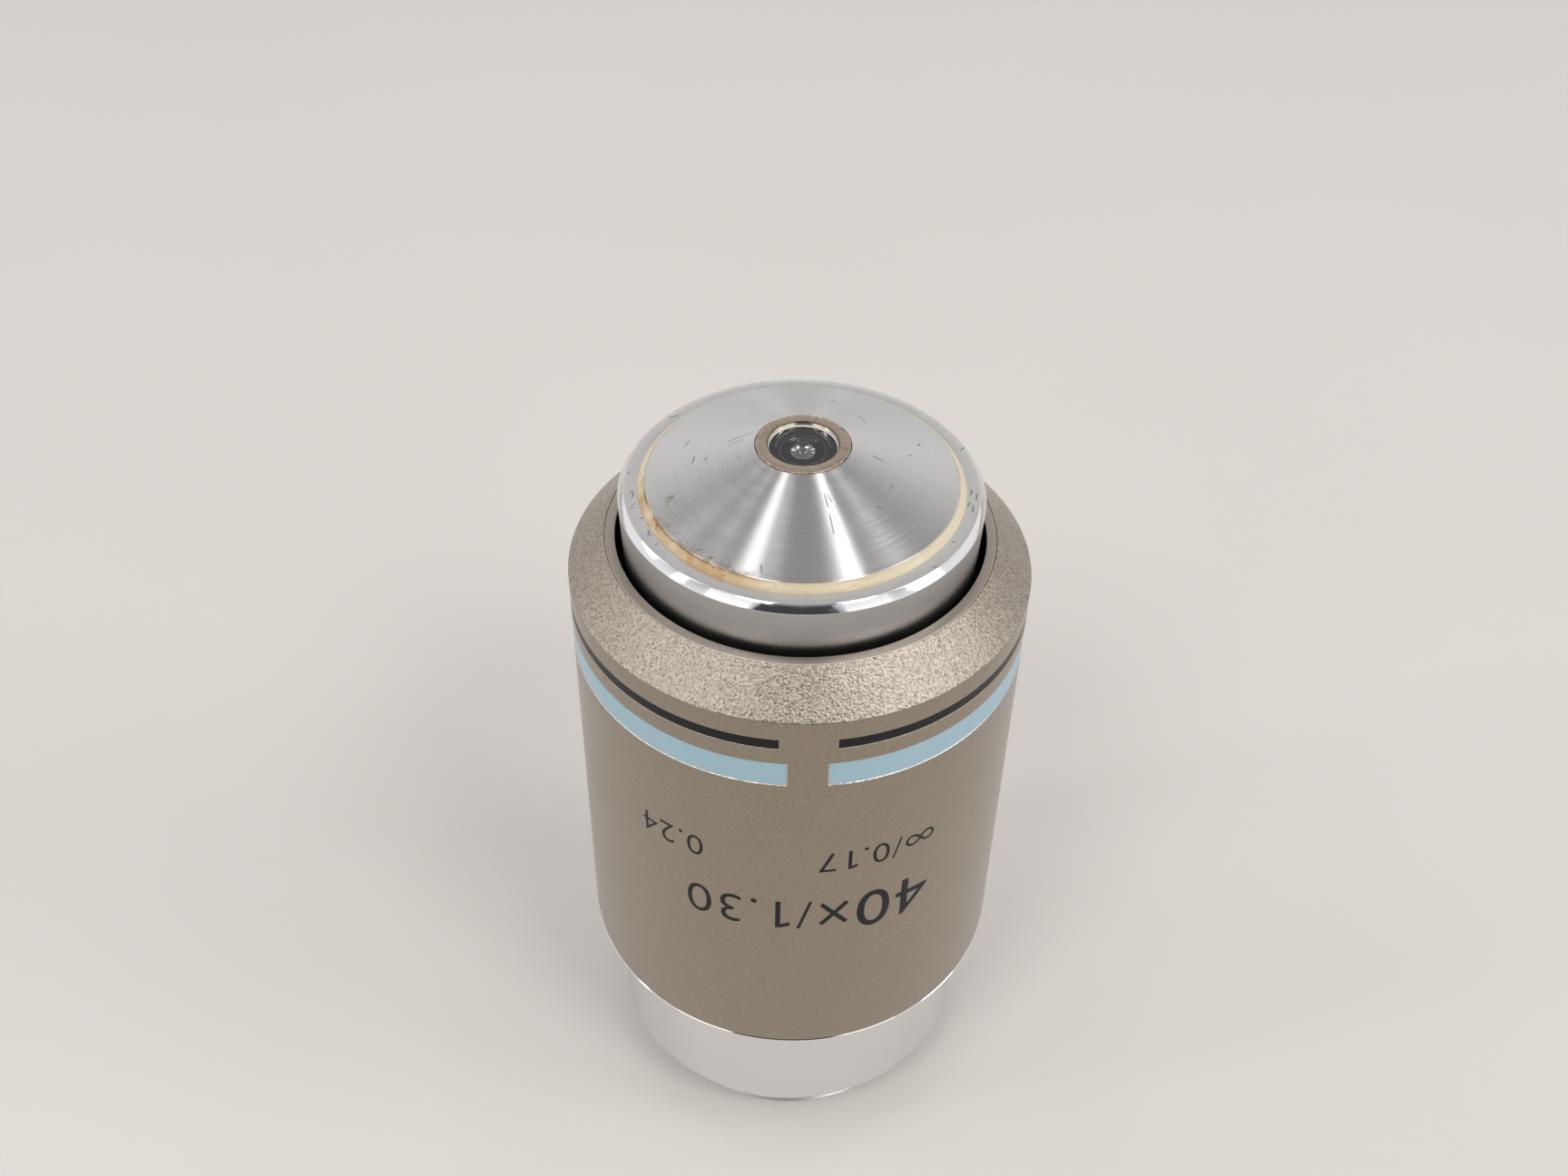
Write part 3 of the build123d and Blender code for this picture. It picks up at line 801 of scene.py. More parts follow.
@dataclass(frozen=True)
class PaleTable(Finish):
    """Pale matt table top with a faint cloudiness."""

    tone: Colour = (0.79, 0.752, 0.71)
    cloud_tone: Colour = (0.75, 0.712, 0.668)

    def wire(self, graph: Graph) -> None:
        """Wires the cloudiness and a dull sheen.

        Args:
            graph: The material's graph.
        """
        polar = graph.polar()
        cloud = graph.grain(polar.point, scale=0.012, detail=4.0)
        graph.surface(
            Base_Color=graph.mix(cloud, self.tone, self.cloud_tone),
            Roughness=0.55 + 0.15 * cloud,
            Specular_IOR_Level=0.3,
        )


# Turning


@dataclass(frozen=True)
class Corner:
    """A corner of a turned outline, in millimetres, with the reach of its rounding along each side."""

    radius: float
    height: float
    rounding: float = 0.0


class Lathe:
    """Turns outlines about the optical axis."""

    STEPS = 240
    ROUNDING_SEGMENTS = 3
    AXIS = Vector((0.0, 0.0, 1.0))
    ORIGIN = Vector((0.0, 0.0, 0.0))

    def __init__(self) -> None:
        """Starts an empty mesh."""
        self.mesh = bmesh.new()

    def draw(self, corners: Sequence[Corner], closed: bool = True) -> list[bmesh.types.BMEdge]:
        """Draws an outline in the XZ plane and rounds its corners.

        Args:
            corners: The outline's corners in order.
            closed: Whether the last corner joins the first.

        Returns:
            The outline's edges.
        """
        before = set(self.mesh.edges)
        points = [self.mesh.verts.new((c.radius * MM, 0.0, c.height * MM)) for c in corners]
        following = points[1:] + points[:1] if closed else points[1:]
        for a, b in zip(points, following):
            self.mesh.edges.new((a, b))
        for corner, point in zip(corners, points):
            if corner.rounding > 0.0:
                bmesh.ops.bevel(
                    self.mesh,
                    geom=[point],
                    offset=corner.rounding * MM,
                    offset_type="OFFSET",
                    affect="VERTICES",
                    segments=self.ROUNDING_SEGMENTS,
                    profile=0.5,
                    material=-1,
                )
        return [edge for edge in self.mesh.edges if edge not in before]

    def spin(
        self,
        edges: Sequence[bmesh.types.BMEdge],
        start: float = 0.0,
        sweep: float = math.tau,
        steps: int = STEPS,
        climb: float = 0.0,
    ) -> None:
        """Spins an outline about the axis.

        Args:
            edges: The outline's edges.
            start: The angle that the outline starts at.
            sweep: The angle that it turns through.
            steps: The number of steps.
            climb: How far it rises over the whole sweep, in millimetres.
        """
        points = list({point for edge in edges for point in edge.verts})
        bmesh.ops.rotate(self.mesh, verts=points, cent=self.ORIGIN, matrix=Matrix.Rotation(start, 3, "Z"))
        full = abs(sweep - math.tau) < 1e-9 and climb == 0.0
        bmesh.ops.spin(
            self.mesh,
            geom=[*points, *edges],
            axis=self.AXIS,
            cent=self.ORIGIN,
            dvec=Vector((0.0, 0.0, climb * MM / steps)),
            angle=sweep,
            steps=steps,
            use_merge=full,
            use_normal_flip=False,
            use_duplicate=False,
        )

    def close(self) -> None:
        """Welds seams, fills open ends and points the faces outwards."""
        bmesh.ops.remove_doubles(self.mesh, verts=self.mesh.verts, dist=WELD)
        bmesh.ops.dissolve_degenerate(self.mesh, edges=self.mesh.edges, dist=WELD)
        open_edges = [edge for edge in self.mesh.edges if edge.is_boundary]
        if open_edges:
            bmesh.ops.holes_fill(self.mesh, edges=open_edges, sides=0)
        bmesh.ops.recalc_face_normals(self.mesh, faces=self.mesh.faces)

    def turn(self, corners: Sequence[Corner]) -> None:
        """Draws a closed outline and turns it all the way round."""
        self.spin(self.draw(corners))
        self.close()


@dataclass
class Piece:
    """What a finished mesh needs to take its place on the objective."""

    name: str
    body: Body
    slot: str
    finish: Finish
    stands_for: tuple[str, ...] = ()
    smooth_angle: float = 40.0

    def place(self, mesh: bmesh.types.BMesh) -> bpy.types.Object:
        """Makes the object from its mesh, dresses it and lets it ride on its body.

        Args:
            mesh: The finished mesh, which is freed.

        Returns:
            The object.
        """
        data = bpy.data.meshes.new(self.name)
        mesh.to_mesh(data)
        mesh.free()
        data.shade_smooth()
        data.set_sharp_from_angle(angle=math.radians(self.smooth_angle))
        data.materials.append(self.finish.material())
        made = bpy.data.objects.new(self.name, data)
        bpy.context.scene.collection.objects.link(made)
        true_normals = made.modifiers.new("true_normals", "WEIGHTED_NORMAL")
        true_normals.keep_sharp = True
        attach(made, self.body.value)
        if self.stands_for:
            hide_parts(*self.stands_for)
        log.info("%s: %d faces on %s", self.name, len(data.polygons), self.body.value)
        return made


def dress(finish: Finish, *nodes: str) -> None:
    """Gives CAD nodes a finish in their own material slots.

    Args:
        finish: The finish to use.
        nodes: The nodes' names.
    """
    for node in nodes:
        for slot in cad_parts[node].material_slots:
            slot.material = finish.material()
        log.info("%s: dressed in %s", node, finish.name)


CHROME = PolishedChrome("collar_chrome")
CHAMPAGNE = ChampagneSatin("sleeve_champagne")
BLACK_PAINT = Enamel("black_enamel")
BLUE_PAINT = Enamel("blue_enamel", tone=(0.335, 0.505, 0.595), roughness=0.36, gloss=0.6)
CONE_METAL = TurnedCone("turned_cone")
NOSE_METAL = NoseChrome("nose_chrome")
CREAM = SealCompound("cream_compound")
TIP_METAL = WornNickel("tip_nickel")
BLACK_COAT = BlackCoat("black_coat")
GLASS = CoatedGlass("coated_glass")
# Painted shade: the front lens's face is black beyond 1.95 mm, hiding its bright internal reflections.
FRONT_GLASS = CoatedGlass("front_glass", black_edge_and_shade_radius=1.95)
STEEL = DrawnSteel("drawn_steel")


# The carrier


@dataclass
class ThreadedMount:
    """Turned body with the mounting thread and the polished seating collar."""

    pitch: float = 0.75
    crest_radius: float = 12.48
    root_radius: float = 12.03
    crest_flat: float = 0.10
    root_flat: float = 0.15
    lead_radius: float = 12.0
    runout_start: float = 4.0
    runout_end: float = 4.35
    shoulder: float = 5.0
    collar_bevel: float = 0.3
    collar_top: float = 17.0
    guide_radius: float = 10.3
    ledge: float = 22.0
    chamber_radius: float = 12.9
    tube_radius: float = 14.5
    teeth_below: int = 2
    teeth_above: int = 1
    hole_overrun: float = 1.0
    hole_sides: int = 48

    def build(self) -> None:
        """Turns the body, cuts the thread and drills the guide screw's hole."""
        low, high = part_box("mount_body")
        collar = high.x / MM
        top = high.z / MM
        lathe = Lathe()
        body = [
            Corner(self.root_radius, self.runout_end),
            Corner(self.root_radius, self.shoulder, rounding=0.08),
            Corner(collar - self.collar_bevel, self.shoulder, rounding=0.06),
            Corner(collar, self.shoulder + self.collar_bevel),
            Corner(collar, self.collar_top),
            Corner(self.tube_radius, self.collar_top),
            Corner(self.tube_radius, top),
            Corner(self.chamber_radius, top),
            Corner(self.chamber_radius, self.ledge),
            Corner(self.guide_radius, self.ledge),
            Corner(self.guide_radius, low.z / MM, rounding=0.10),
            Corner(self.lead_radius, low.z / MM),
        ]
        lathe.spin(lathe.draw(body, closed=False))
        self.cut_thread(lathe)
        lathe.close()
        self.drill(lathe.mesh)
        many_sided = [face for face in lathe.mesh.faces if len(face.verts) > 4]
        bmesh.ops.triangulate(lathe.mesh, faces=many_sided)
        bmesh.ops.dissolve_degenerate(lathe.mesh, dist=WELD, edges=lathe.mesh.edges)
        Piece("threaded_mount", Body.MOUNT, "polished_chrome", CHROME, ("mount_body",)).place(lathe.mesh)

    def cut_thread(self, lathe: Lathe) -> None:
        """Winds the thread's teeth upwards and clips them to the lead chamfer and the run-out.

        Args:
            lathe: The lathe whose mesh takes the thread.
        """
        kept = set(lathe.mesh.verts)
        flank = (self.pitch - self.crest_flat - self.root_flat) / 2
        teeth = math.ceil(self.runout_end / self.pitch) + self.teeth_below + self.teeth_above
        outline: list[Corner] = []
        for tooth in range(teeth):
            foot = (tooth - self.teeth_below) * self.pitch
            rise = foot + self.root_flat + flank
            outline += [
                Corner(self.root_radius, foot),
                Corner(self.root_radius, foot + self.root_flat),
                Corner(self.crest_radius, rise),
                Corner(self.crest_radius, rise + self.crest_flat),
            ]
        lathe.spin(lathe.draw(outline, closed=False), climb=self.pitch)
        for point in lathe.mesh.verts:
            if point not in kept:
                self.clip(point)

    def clip(self, point: bmesh.types.BMVert) -> None:
        """Moves one point of the thread inside the lead chamfer and the run-out.

        Args:
            point: The point to move.
        """
        height = min(max(point.co.z / MM, 0.0), self.runout_end)
        radius = point.co.xy.length / MM
        left = (self.runout_end - height) / (self.runout_end - self.runout_start)
        runout = self.root_radius + (self.crest_radius - self.root_radius) * min(left, 1.0)
        limit = min(self.lead_radius + height, runout)
        point.co.xy *= min(radius, limit) / radius
        point.co.z = height * MM

    def drill(self, mesh: bmesh.types.BMesh) -> None:
        """Cuts the guide screw's cross hole through the tube wall.

        Args:
            mesh: The turned body's mesh, which takes the hole.
        """
        low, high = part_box("guide_screw")
        hole = bmesh.new()
        centre = (low + high) / 2
        reach = (self.tube_radius + self.hole_overrun) * MM
        place = Matrix.Translation((0.0, reach / 2, centre.z)) @ Matrix.Rotation(math.pi / 2, 4, "X")
        radius = (high.z - low.z) / 2
        bmesh.ops.create_cone(
            hole,
            cap_ends=True,
            segments=self.hole_sides,
            radius1=radius,
            radius2=radius,
            depth=reach,
            matrix=place,
        )
        cutter = self.loose(hole)
        body = self.loose(mesh)
        hole.free()
        cut = body.modifiers.new("hole", "BOOLEAN")
        cut.operation = "DIFFERENCE"
        cut.solver = "EXACT"
        cut.object = cutter
        depsgraph = bpy.context.evaluated_depsgraph_get()
        drilled = bpy.data.meshes.new_from_object(body.evaluated_get(depsgraph))
        mesh.clear()
        mesh.from_mesh(drilled)
        bpy.data.objects.remove(cutter)
        bpy.data.objects.remove(body)

    def loose(self, mesh: bmesh.types.BMesh) -> bpy.types.Object:
        """Makes a helper object, to be removed after use.

        Args:
            mesh: The helper's mesh.

        Returns:
            The object.
        """
        data = bpy.data.meshes.new("helper")
        mesh.to_mesh(data)
        helper = bpy.data.objects.new("helper", data)
        bpy.context.scene.collection.objects.link(helper)
        return helper


@dataclass
class ReturnSpring:
    """Coil spring that pushes the lens unit forward, with ground ends."""

    joint: str = "nose_retract"
    wire: float = 1.2
    ground_share: float = 0.25
    turns: int = 5
    steps_per_turn: int = 48
    wire_sides: int = 16
    travel: float = 2.5

    def build(self) -> None:
        """Winds the coil on the ledge."""
        low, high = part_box("return_spring")
        length = (high.z - low.z) / MM
        radius = high.x / MM - self.wire / 2
        start = low.z / MM + self.ground_share * self.wire
        section = []
        for side in range(self.wire_sides):
            turn = math.tau * side / self.wire_sides
            reach = self.wire / 2
            section.append(Corner(radius + reach * math.cos(turn), start + reach * math.sin(turn)))
        lathe = Lathe()
        lathe.spin(
            lathe.draw(section),
            sweep=math.tau * self.turns,
            steps=self.steps_per_turn * self.turns,
            climb=length - 2 * self.ground_share * self.wire,
        )
        for point in lathe.mesh.verts:
            point.co.z = min(max(point.co.z, low.z), high.z)
        lathe.close()
        coil = Piece("return_coil", Body.MOUNT, "spring_steel", STEEL, ("return_spring",)).place(lathe.mesh)
        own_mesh(coil)


@dataclass(frozen=True)
class Groove:
    """An engraved ring with a break at the front, painted in."""

    node: str
    slot: str
    paint: Finish
    gap: float

    @property
    def bottom(self) -> float:
        """The groove's lower edge."""
        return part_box(self.node)[0].z / MM

    @property
    def top(self) -> float:
        """The groove's upper edge."""
        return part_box(self.node)[1].z / MM


@dataclass(frozen=True)
class FigureRow:
    """One run of engraved figures, read with the thread upwards."""

    text: str
    size: float
    baseline: float
    azimuth: float
    weight: float = 0.0
    stretch: float = 1.0


@dataclass(frozen=True)
class Knock:
    """A dent on an edge, in degrees from the band break and millimetres."""

    azimuth: float
    radius: float
    height: float
    reach: float
    depth: float


def new_points(mesh: bmesh.types.BMesh, before: set[bmesh.types.BMVert]) -> list[bmesh.types.BMVert]:
    """Returns the points that a mesh has gained."""
    return [point for point in mesh.verts if point not in before]


def new_faces(mesh: bmesh.types.BMesh, before: set[bmesh.types.BMVert]) -> list[bmesh.types.BMFace]:
    """Returns the faces that a mesh has gained."""
    return [face for face in mesh.faces if face.verts[0] not in before]


@dataclass
class OuterSleeve:
    """Champagne sleeve with its lip, painted bands and engraved figures."""

    bore_radius: float = 14.52
    mouth_radius: float = 13.46
    mouth_step: float = 53.02
    lip_radius: float = 14.2
    bevel_foot: float = 54.37
    foot_bevel: float = 0.15
    foot_cut: float = 0.10
    foot_cut_width: float = 0.16
    groove_depth: float = 0.12
    paint_depth: float = 0.03
    groove_edge: float = 0.05
    parting: float = 0.05
    skin: float = 0.004
    figure_depth: float = 0.03
    figure_lift: float = 0.003
    figure_curve_steps: int = 6
    figure_weld: float = 1e-4
    strip_snap: float = 1e-5
    sliver: float = 2e-3
    figure_step: float = 0.35
    figure_spacing: float = 1.06
    stem_height: float = 0.6
    stem_lean: float = 1e-3
    flag_share: float = 0.14
    flag_reach: tuple[float, float, float] = (-0.15, -0.06, 0.0)
    steps_per_turn: int = 360
    grooves: tuple[Groove, ...] = (
        Groove("magnification_band", "blue_paint", BLUE_PAINT, 10.0),
        Groove("immersion_band", "black_paint", BLACK_PAINT, 13.7),
    )
    figures: tuple[FigureRow, ...] = (
        FigureRow("40", 4.15, 35.45, 23.7, 0.0),
        FigureRow("×", 3.77, 36.11, 7.9, -0.010, 0.82),
        FigureRow("/1.30", 3.2, 35.3, -14.1, -0.008),
        FigureRow("∞/0.17", 2.1, 40.75, 19.2, -0.006),
        FigureRow("0.24", 2.1, 40.75, -34.5, -0.006),
    )
    knocks: tuple[Knock, ...] = (
        Knock(44.5, 17.0, 54.37, 1.1, 0.10),
        Knock(39.5, 17.0, 54.37, 0.7, 0.07),
        Knock(-68.0, 13.46, 57.17, 0.5, 0.05),
    )
    knock_even: float = 0.7
    knock_uneven: float = 0.6
    knock_grain: float = 3.0
    knock_drop: float = 0.6

    def __post_init__(self) -> None:
        """Reads the sleeve's reach from the frame."""
        low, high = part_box("sleeve")
        self.foot = low.z / MM
        self.top = high.z / MM
        self.radius = high.x / MM - self.skin

    def outline(self, cut: Sequence[Groove]) -> list[Corner]:
        """Draws the sleeve's section.

        Args:
            cut: The grooves that are cut into it.

        Returns:
            The section's corners in order.
        """
        edge = self.groove_edge
        floor = self.radius - self.groove_depth
        corners = [
            Corner(self.bore_radius, self.foot),
            Corner(self.radius - self.foot_bevel, self.foot, rounding=0.03),
            Corner(self.radius, self.foot + self.foot_bevel),
            Corner(self.radius - self.foot_cut, self.foot + self.foot_bevel + self.foot_cut),
            Corner(self.radius, self.foot + self.foot_bevel + self.foot_cut_width),
        ]
        for groove in self.grooves:
            corners.append(Corner(self.radius, groove.bottom - edge))
            if groove in cut:
                corners += [
                    Corner(self.radius - edge, groove.bottom),
                    Corner(floor, groove.bottom),
                    Corner(floor, groove.top),
                    Corner(self.radius - edge, groove.top),
                ]
            corners.append(Corner(self.radius, groove.top + edge))
        corners += [
            Corner(self.radius, self.bevel_foot, rounding=0.07),
            Corner(self.lip_radius + self.parting, self.top - self.parting),
            Corner(self.lip_radius, self.top - 2 * self.parting),
            Corner(self.lip_radius - self.parting, self.top, rounding=0.015),
            Corner(self.mouth_radius, self.top, rounding=0.06),
            Corner(self.mouth_radius, self.mouth_step),
            Corner(self.bore_radius, self.mouth_step),
        ]
        return corners

    def sweep(self, lathe: Lathe, corners: Sequence[Corner], start: float, end: float) -> None:
        """Turns a section between two azimuths.

        Args:
            lathe: The lathe that turns it.
            corners: The section's corners.
            start: The first azimuth, in degrees from the band break.
            end: The last azimuth.
        """
        front = -math.pi / 2
        steps = max(2, round((end - start) / 360 * self.steps_per_turn))
        edges = lathe.draw(corners)
        lathe.spin(edges, front + math.radians(start), math.radians(end - start), steps)

    def build(self) -> None:
        """Turns the sleeve, lays the paint and engraves the figures."""
        lathe = Lathe()
        reaches = sorted({groove.gap / 2 for groove in self.grooves})
        bounds = [*(-reach for reach in reversed(reaches)), *reaches, 360.0 - reaches[-1]]
        for start, end in zip(bounds, bounds[1:]):
            middle = (start + end) / 2
            cut = [groove for groove in self.grooves if abs(middle) > groove.gap / 2]
            self.sweep(lathe, self.outline(cut), start, end)
        lathe.close()
        for knock in self.knocks:
            self.dent(lathe.mesh, knock)
        Piece("champagne_sleeve", Body.MOUNT, "champagne_satin", CHAMPAGNE, ("sleeve",)).place(lathe.mesh)
        for groove in self.grooves:
            self.paint(groove)
        self.engrave()

    def dent(self, mesh: bmesh.types.BMesh, knock: Knock) -> None:
        """Pushes an edge in where it has been knocked.

        Args:
            mesh: The sleeve's mesh.
            knock: The dent's place and size.
        """
        turn = math.radians(knock.azimuth)
        spot = Vector((knock.radius * math.sin(turn), -knock.radius * math.cos(turn), knock.height))
        for point in mesh.verts:
            away = (point.co / MM - spot).length / knock.reach
            if away < 1.0:
                uneven = self.knock_uneven * noise.noise(point.co / MM * self.knock_grain)
                push = knock.depth * (1.0 - away * away) * (self.knock_even + uneven)
                point.co.xy *= 1.0 - push / knock.radius
                point.co.z -= self.knock_drop * push * MM

    def paint(self, groove: Groove) -> None:
        """Fills one groove with its paint.

        Args:
            groove: The groove to fill.
        """
        face = self.radius - self.paint_depth
        floor = self.radius - self.groove_depth
        section = [
            Corner(floor, groove.bottom),
            Corner(face, groove.bottom),
            Corner(face, groove.top),
            Corner(floor, groove.top),
        ]
        lathe = Lathe()
        self.sweep(lathe, section, groove.gap / 2, 360.0 - groove.gap / 2)
        lathe.close()
        Piece(f"{groove.node}_paint", Body.MOUNT, groove.slot, groove.paint, (groove.node,)).place(lathe.mesh)

    def engrave(self) -> None:
        """Wraps the figures round the sleeve as one thin paint-filled mesh."""
        whole = bmesh.new()
        for row in self.figures:
            self.wrap(whole, row)
        bmesh.ops.recalc_face_normals(whole, faces=whole.faces)
        Piece("engraved_figures", Body.MOUNT, "black_paint", BLACK_PAINT).place(whole)

    def wrap(self, whole: bmesh.types.BMesh, row: FigureRow) -> None:
        """Sets one row of figures, slices it to follow the curve and bends it on.

        Args:
            whole: The mesh that takes the row.
            row: The figures and their place.
        """
        before = set(whole.verts)
        whole.from_mesh(self.set_flat(row))
        scale = row.size / max(point.co.y for point in new_points(whole, before))
        self.flag_ones(whole, before)
        points = new_points(whole, before)
        bmesh.ops.scale(whole, verts=points, vec=Vector((scale * row.stretch, scale, scale)))
        bmesh.ops.remove_doubles(whole, verts=points, dist=self.figure_weld)
        self.slice(whole, before)
        edges = [edge for edge in whole.edges if edge.verts[0] not in before]
        bmesh.ops.dissolve_degenerate(whole, dist=self.sliver, edges=edges)
        self.bend(whole, before, row)

    def set_flat(self, row: FigureRow) -> bpy.types.Mesh:
        """Sets a row of figures flat.

        Args:
            row: The figures to set.

        Returns:
            The flat mesh, with the baseline along X.
        """
        text = bpy.data.curves.new("figures", "FONT")
        text.body = row.text
        text.align_x = "CENTER"
        text.offset = row.weight
        text.space_character = self.figure_spacing
        text.resolution_u = self.figure_curve_steps
        setter = bpy.data.objects.new("figures", text)
        bpy.context.scene.collection.objects.link(setter)
        bpy.context.view_layer.update()
        depsgraph = bpy.context.evaluated_depsgraph_get()
        flat = bpy.data.meshes.new_from_object(setter.evaluated_get(depsgraph))
        bpy.data.objects.remove(setter)
        return flat

    def bend(self, whole: bmesh.types.BMesh, before: set[bmesh.types.BMVert], row: FigureRow) -> None:
        """Bends a flat row round the sleeve and gives it its depth.

        Args:
            whole: The mesh that holds the row.
            before: The points that were there before the row.
            row: The row's place.
        """
        reach = (self.radius + self.figure_lift) * MM
        for point in new_points(whole, before):
            angle = math.radians(row.azimuth) - point.co.x / self.radius
            height = (row.baseline - point.co.y) * MM
            point.co = Vector((reach * math.sin(angle), -reach * math.cos(angle), height))
        faces = new_faces(whole, before)
        sunk = bmesh.ops.extrude_face_region(whole, geom=faces, use_keep_orig=True)["geom"]
        for point in sunk:
            if isinstance(point, bmesh.types.BMVert):
                point.co.xy *= 1.0 - self.figure_depth / self.radius

    def flag_ones(self, whole: bmesh.types.BMesh, before: set[bmesh.types.BMVert]) -> None:
        """Draws a flag out of the head of each plain upright 1.

        Args:
            whole: The mesh that holds the row.
            before: The points that were there before the row.
        """
        for edge in {edge for face in new_faces(whole, before) for edge in face.edges}:
            low, high = sorted(edge.verts, key=lambda point: point.co.y)
            tall = high.co.y - low.co.y > self.stem_height
            upright = abs(high.co.x - low.co.x) < self.stem_lean
            if tall and upright and edge.is_boundary and edge.link_faces[0].calc_center_median().x > low.co.x:
                knee = bmesh.utils.edge_split(edge, high, self.flag_share)[1]
                head = next(side for side in knee.link_edges if high in side.verts)
                drawn = bmesh.ops.extrude_edge_only(whole, edges=[head])["geom"]
                ends = [part for part in drawn if isinstance(part, bmesh.types.BMVert)]
                bmesh.ops.translate(whole, verts=ends, vec=Vector(self.flag_reach))

    def slice(self, whole: bmesh.types.BMesh, before: set[bmesh.types.BMVert]) -> None:
        """Cuts a flat row into narrow upright strips.

        Args:
            whole: The mesh that holds the row.
            before: The points that were there before the row.
        """
        sides = [point.co.x for point in new_points(whole, before)]
        left = min(sides)
        right = max(sides)
        for cut in range(1, math.ceil((right - left) / self.figure_step)):
            faces = new_faces(whole, before)
            edges = {edge for face in faces for edge in face.edges}
            row_points = {point for face in faces for point in face.verts}
            bmesh.ops.bisect_plane(
                whole,
                geom=[*row_points, *edges, *faces],
                dist=self.strip_snap,
                plane_co=Vector((left + cut * self.figure_step, 0.0, 0.0)),
                plane_no=Vector((1.0, 0.0, 0.0)),
            )


# The sprung nose


@dataclass
class Nose:
    """Bright ring, turned cone and the cream bead between them."""

    ring_bore: float = 11.70
    spigot_radius: float = 10.42
    floor: float = 57.0
    skirt_foot_radius: float = 12.90
    bevel_foot: float = 60.68
    land_radius: float = 12.67
    cone_skirt: float = 11.68
    cone_base_radius: float = 11.17
    cone_base: float = 61.70
    groove_floor: float = 60.77
    cone_inner_rim: float = 60.70
    tip_hole: float = 3.40
    tip_under: float = 63.41
    bead_steps: tuple[tuple[float, float], ...] = ((0.11, 0.15), (0.23, 0.28), (0.37, 0.39))
    bead_rounding: float = 0.05
    bead_margin: float = 0.02
    bead_ripple: float = 0.035
    bead_grain: float = 1.3
    bead_decay: float = 0.8
    bead_octaves: int = 3

    def build(self) -> None:
        """Builds the ring, the cone and the bead."""
        self.turn_ring()
        self.turn_cone()
        self.lay_bead()

    def turn_ring(self) -> None:
        """Turns the ring with its land, polished bevel and tapered skirt."""
        low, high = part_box("nose_ring")
        seat, land, widest = low.z / MM, high.z / MM, high.x / MM
        lathe = Lathe()
        lathe.turn([
            Corner(self.spigot_radius, seat),
            Corner(self.skirt_foot_radius, seat, rounding=0.04),
            Corner(widest, self.bevel_foot, rounding=0.04),
            Corner(self.land_radius, land, rounding=0.04),
            Corner(self.ring_bore, land, rounding=0.03),
            Corner(self.ring_bore, self.floor),
            Corner(self.spigot_radius, self.floor),
        ])
        ring = Piece("nose_bright_ring", Body.LENS_UNIT, "satin_chrome", NOSE_METAL, ("nose_ring",))
        ring.place(lathe.mesh)

    def turn_cone(self) -> None:
        """Turns the conical cap."""
        low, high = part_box("nose_cone")
        lathe = Lathe()
        lathe.turn([
            Corner(self.spigot_radius, low.z / MM),
            Corner(self.cone_skirt, low.z / MM),
            Corner(self.cone_skirt, self.groove_floor),
            Corner(self.cone_base_radius, self.groove_floor),
            Corner(self.cone_base_radius, self.cone_base, rounding=0.06),
            Corner(self.tip_hole, high.z / MM, rounding=0.04),
            Corner(self.tip_hole, self.tip_under),
            Corner(self.spigot_radius, self.cone_inner_rim),
        ])
        cone = Piece("nose_turned_cone", Body.LENS_UNIT, "satin_chrome", CONE_METAL, ("nose_cone",))
        cone.place(lathe.mesh)

    def lay_bead(self) -> None:
        """Lays the bead of compound and makes its face uneven."""
        low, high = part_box("seal_bead")
        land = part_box("nose_ring")[1].z / MM
        outer, top = high.x / MM, high.z / MM
        lathe = Lathe()
        lathe.turn([
            Corner(self.cone_base_radius, low.z / MM),
            Corner(outer, low.z / MM),
            Corner(outer, land),
            *(Corner(outer - inward, land + rise, self.bead_rounding) for inward, rise in self.bead_steps),
            Corner(self.cone_base_radius, top),
        ])
        for point in lathe.mesh.verts:
            if point.co.z / MM - land > self.bead_margin:
                spot = point.co / MM * self.bead_grain
                uneven = noise.fractal(spot, self.bead_decay, OCTAVE_STEP, self.bead_octaves)
                outward = Vector((point.co.x, point.co.y, 0.0)).normalized() + Lathe.AXIS
                point.co += outward * (min(uneven, 0.0) * self.bead_ripple * MM)
        Piece("cream_bead", Body.LENS_UNIT, "seal_compound", CREAM, ("seal_bead",)).place(lathe.mesh)


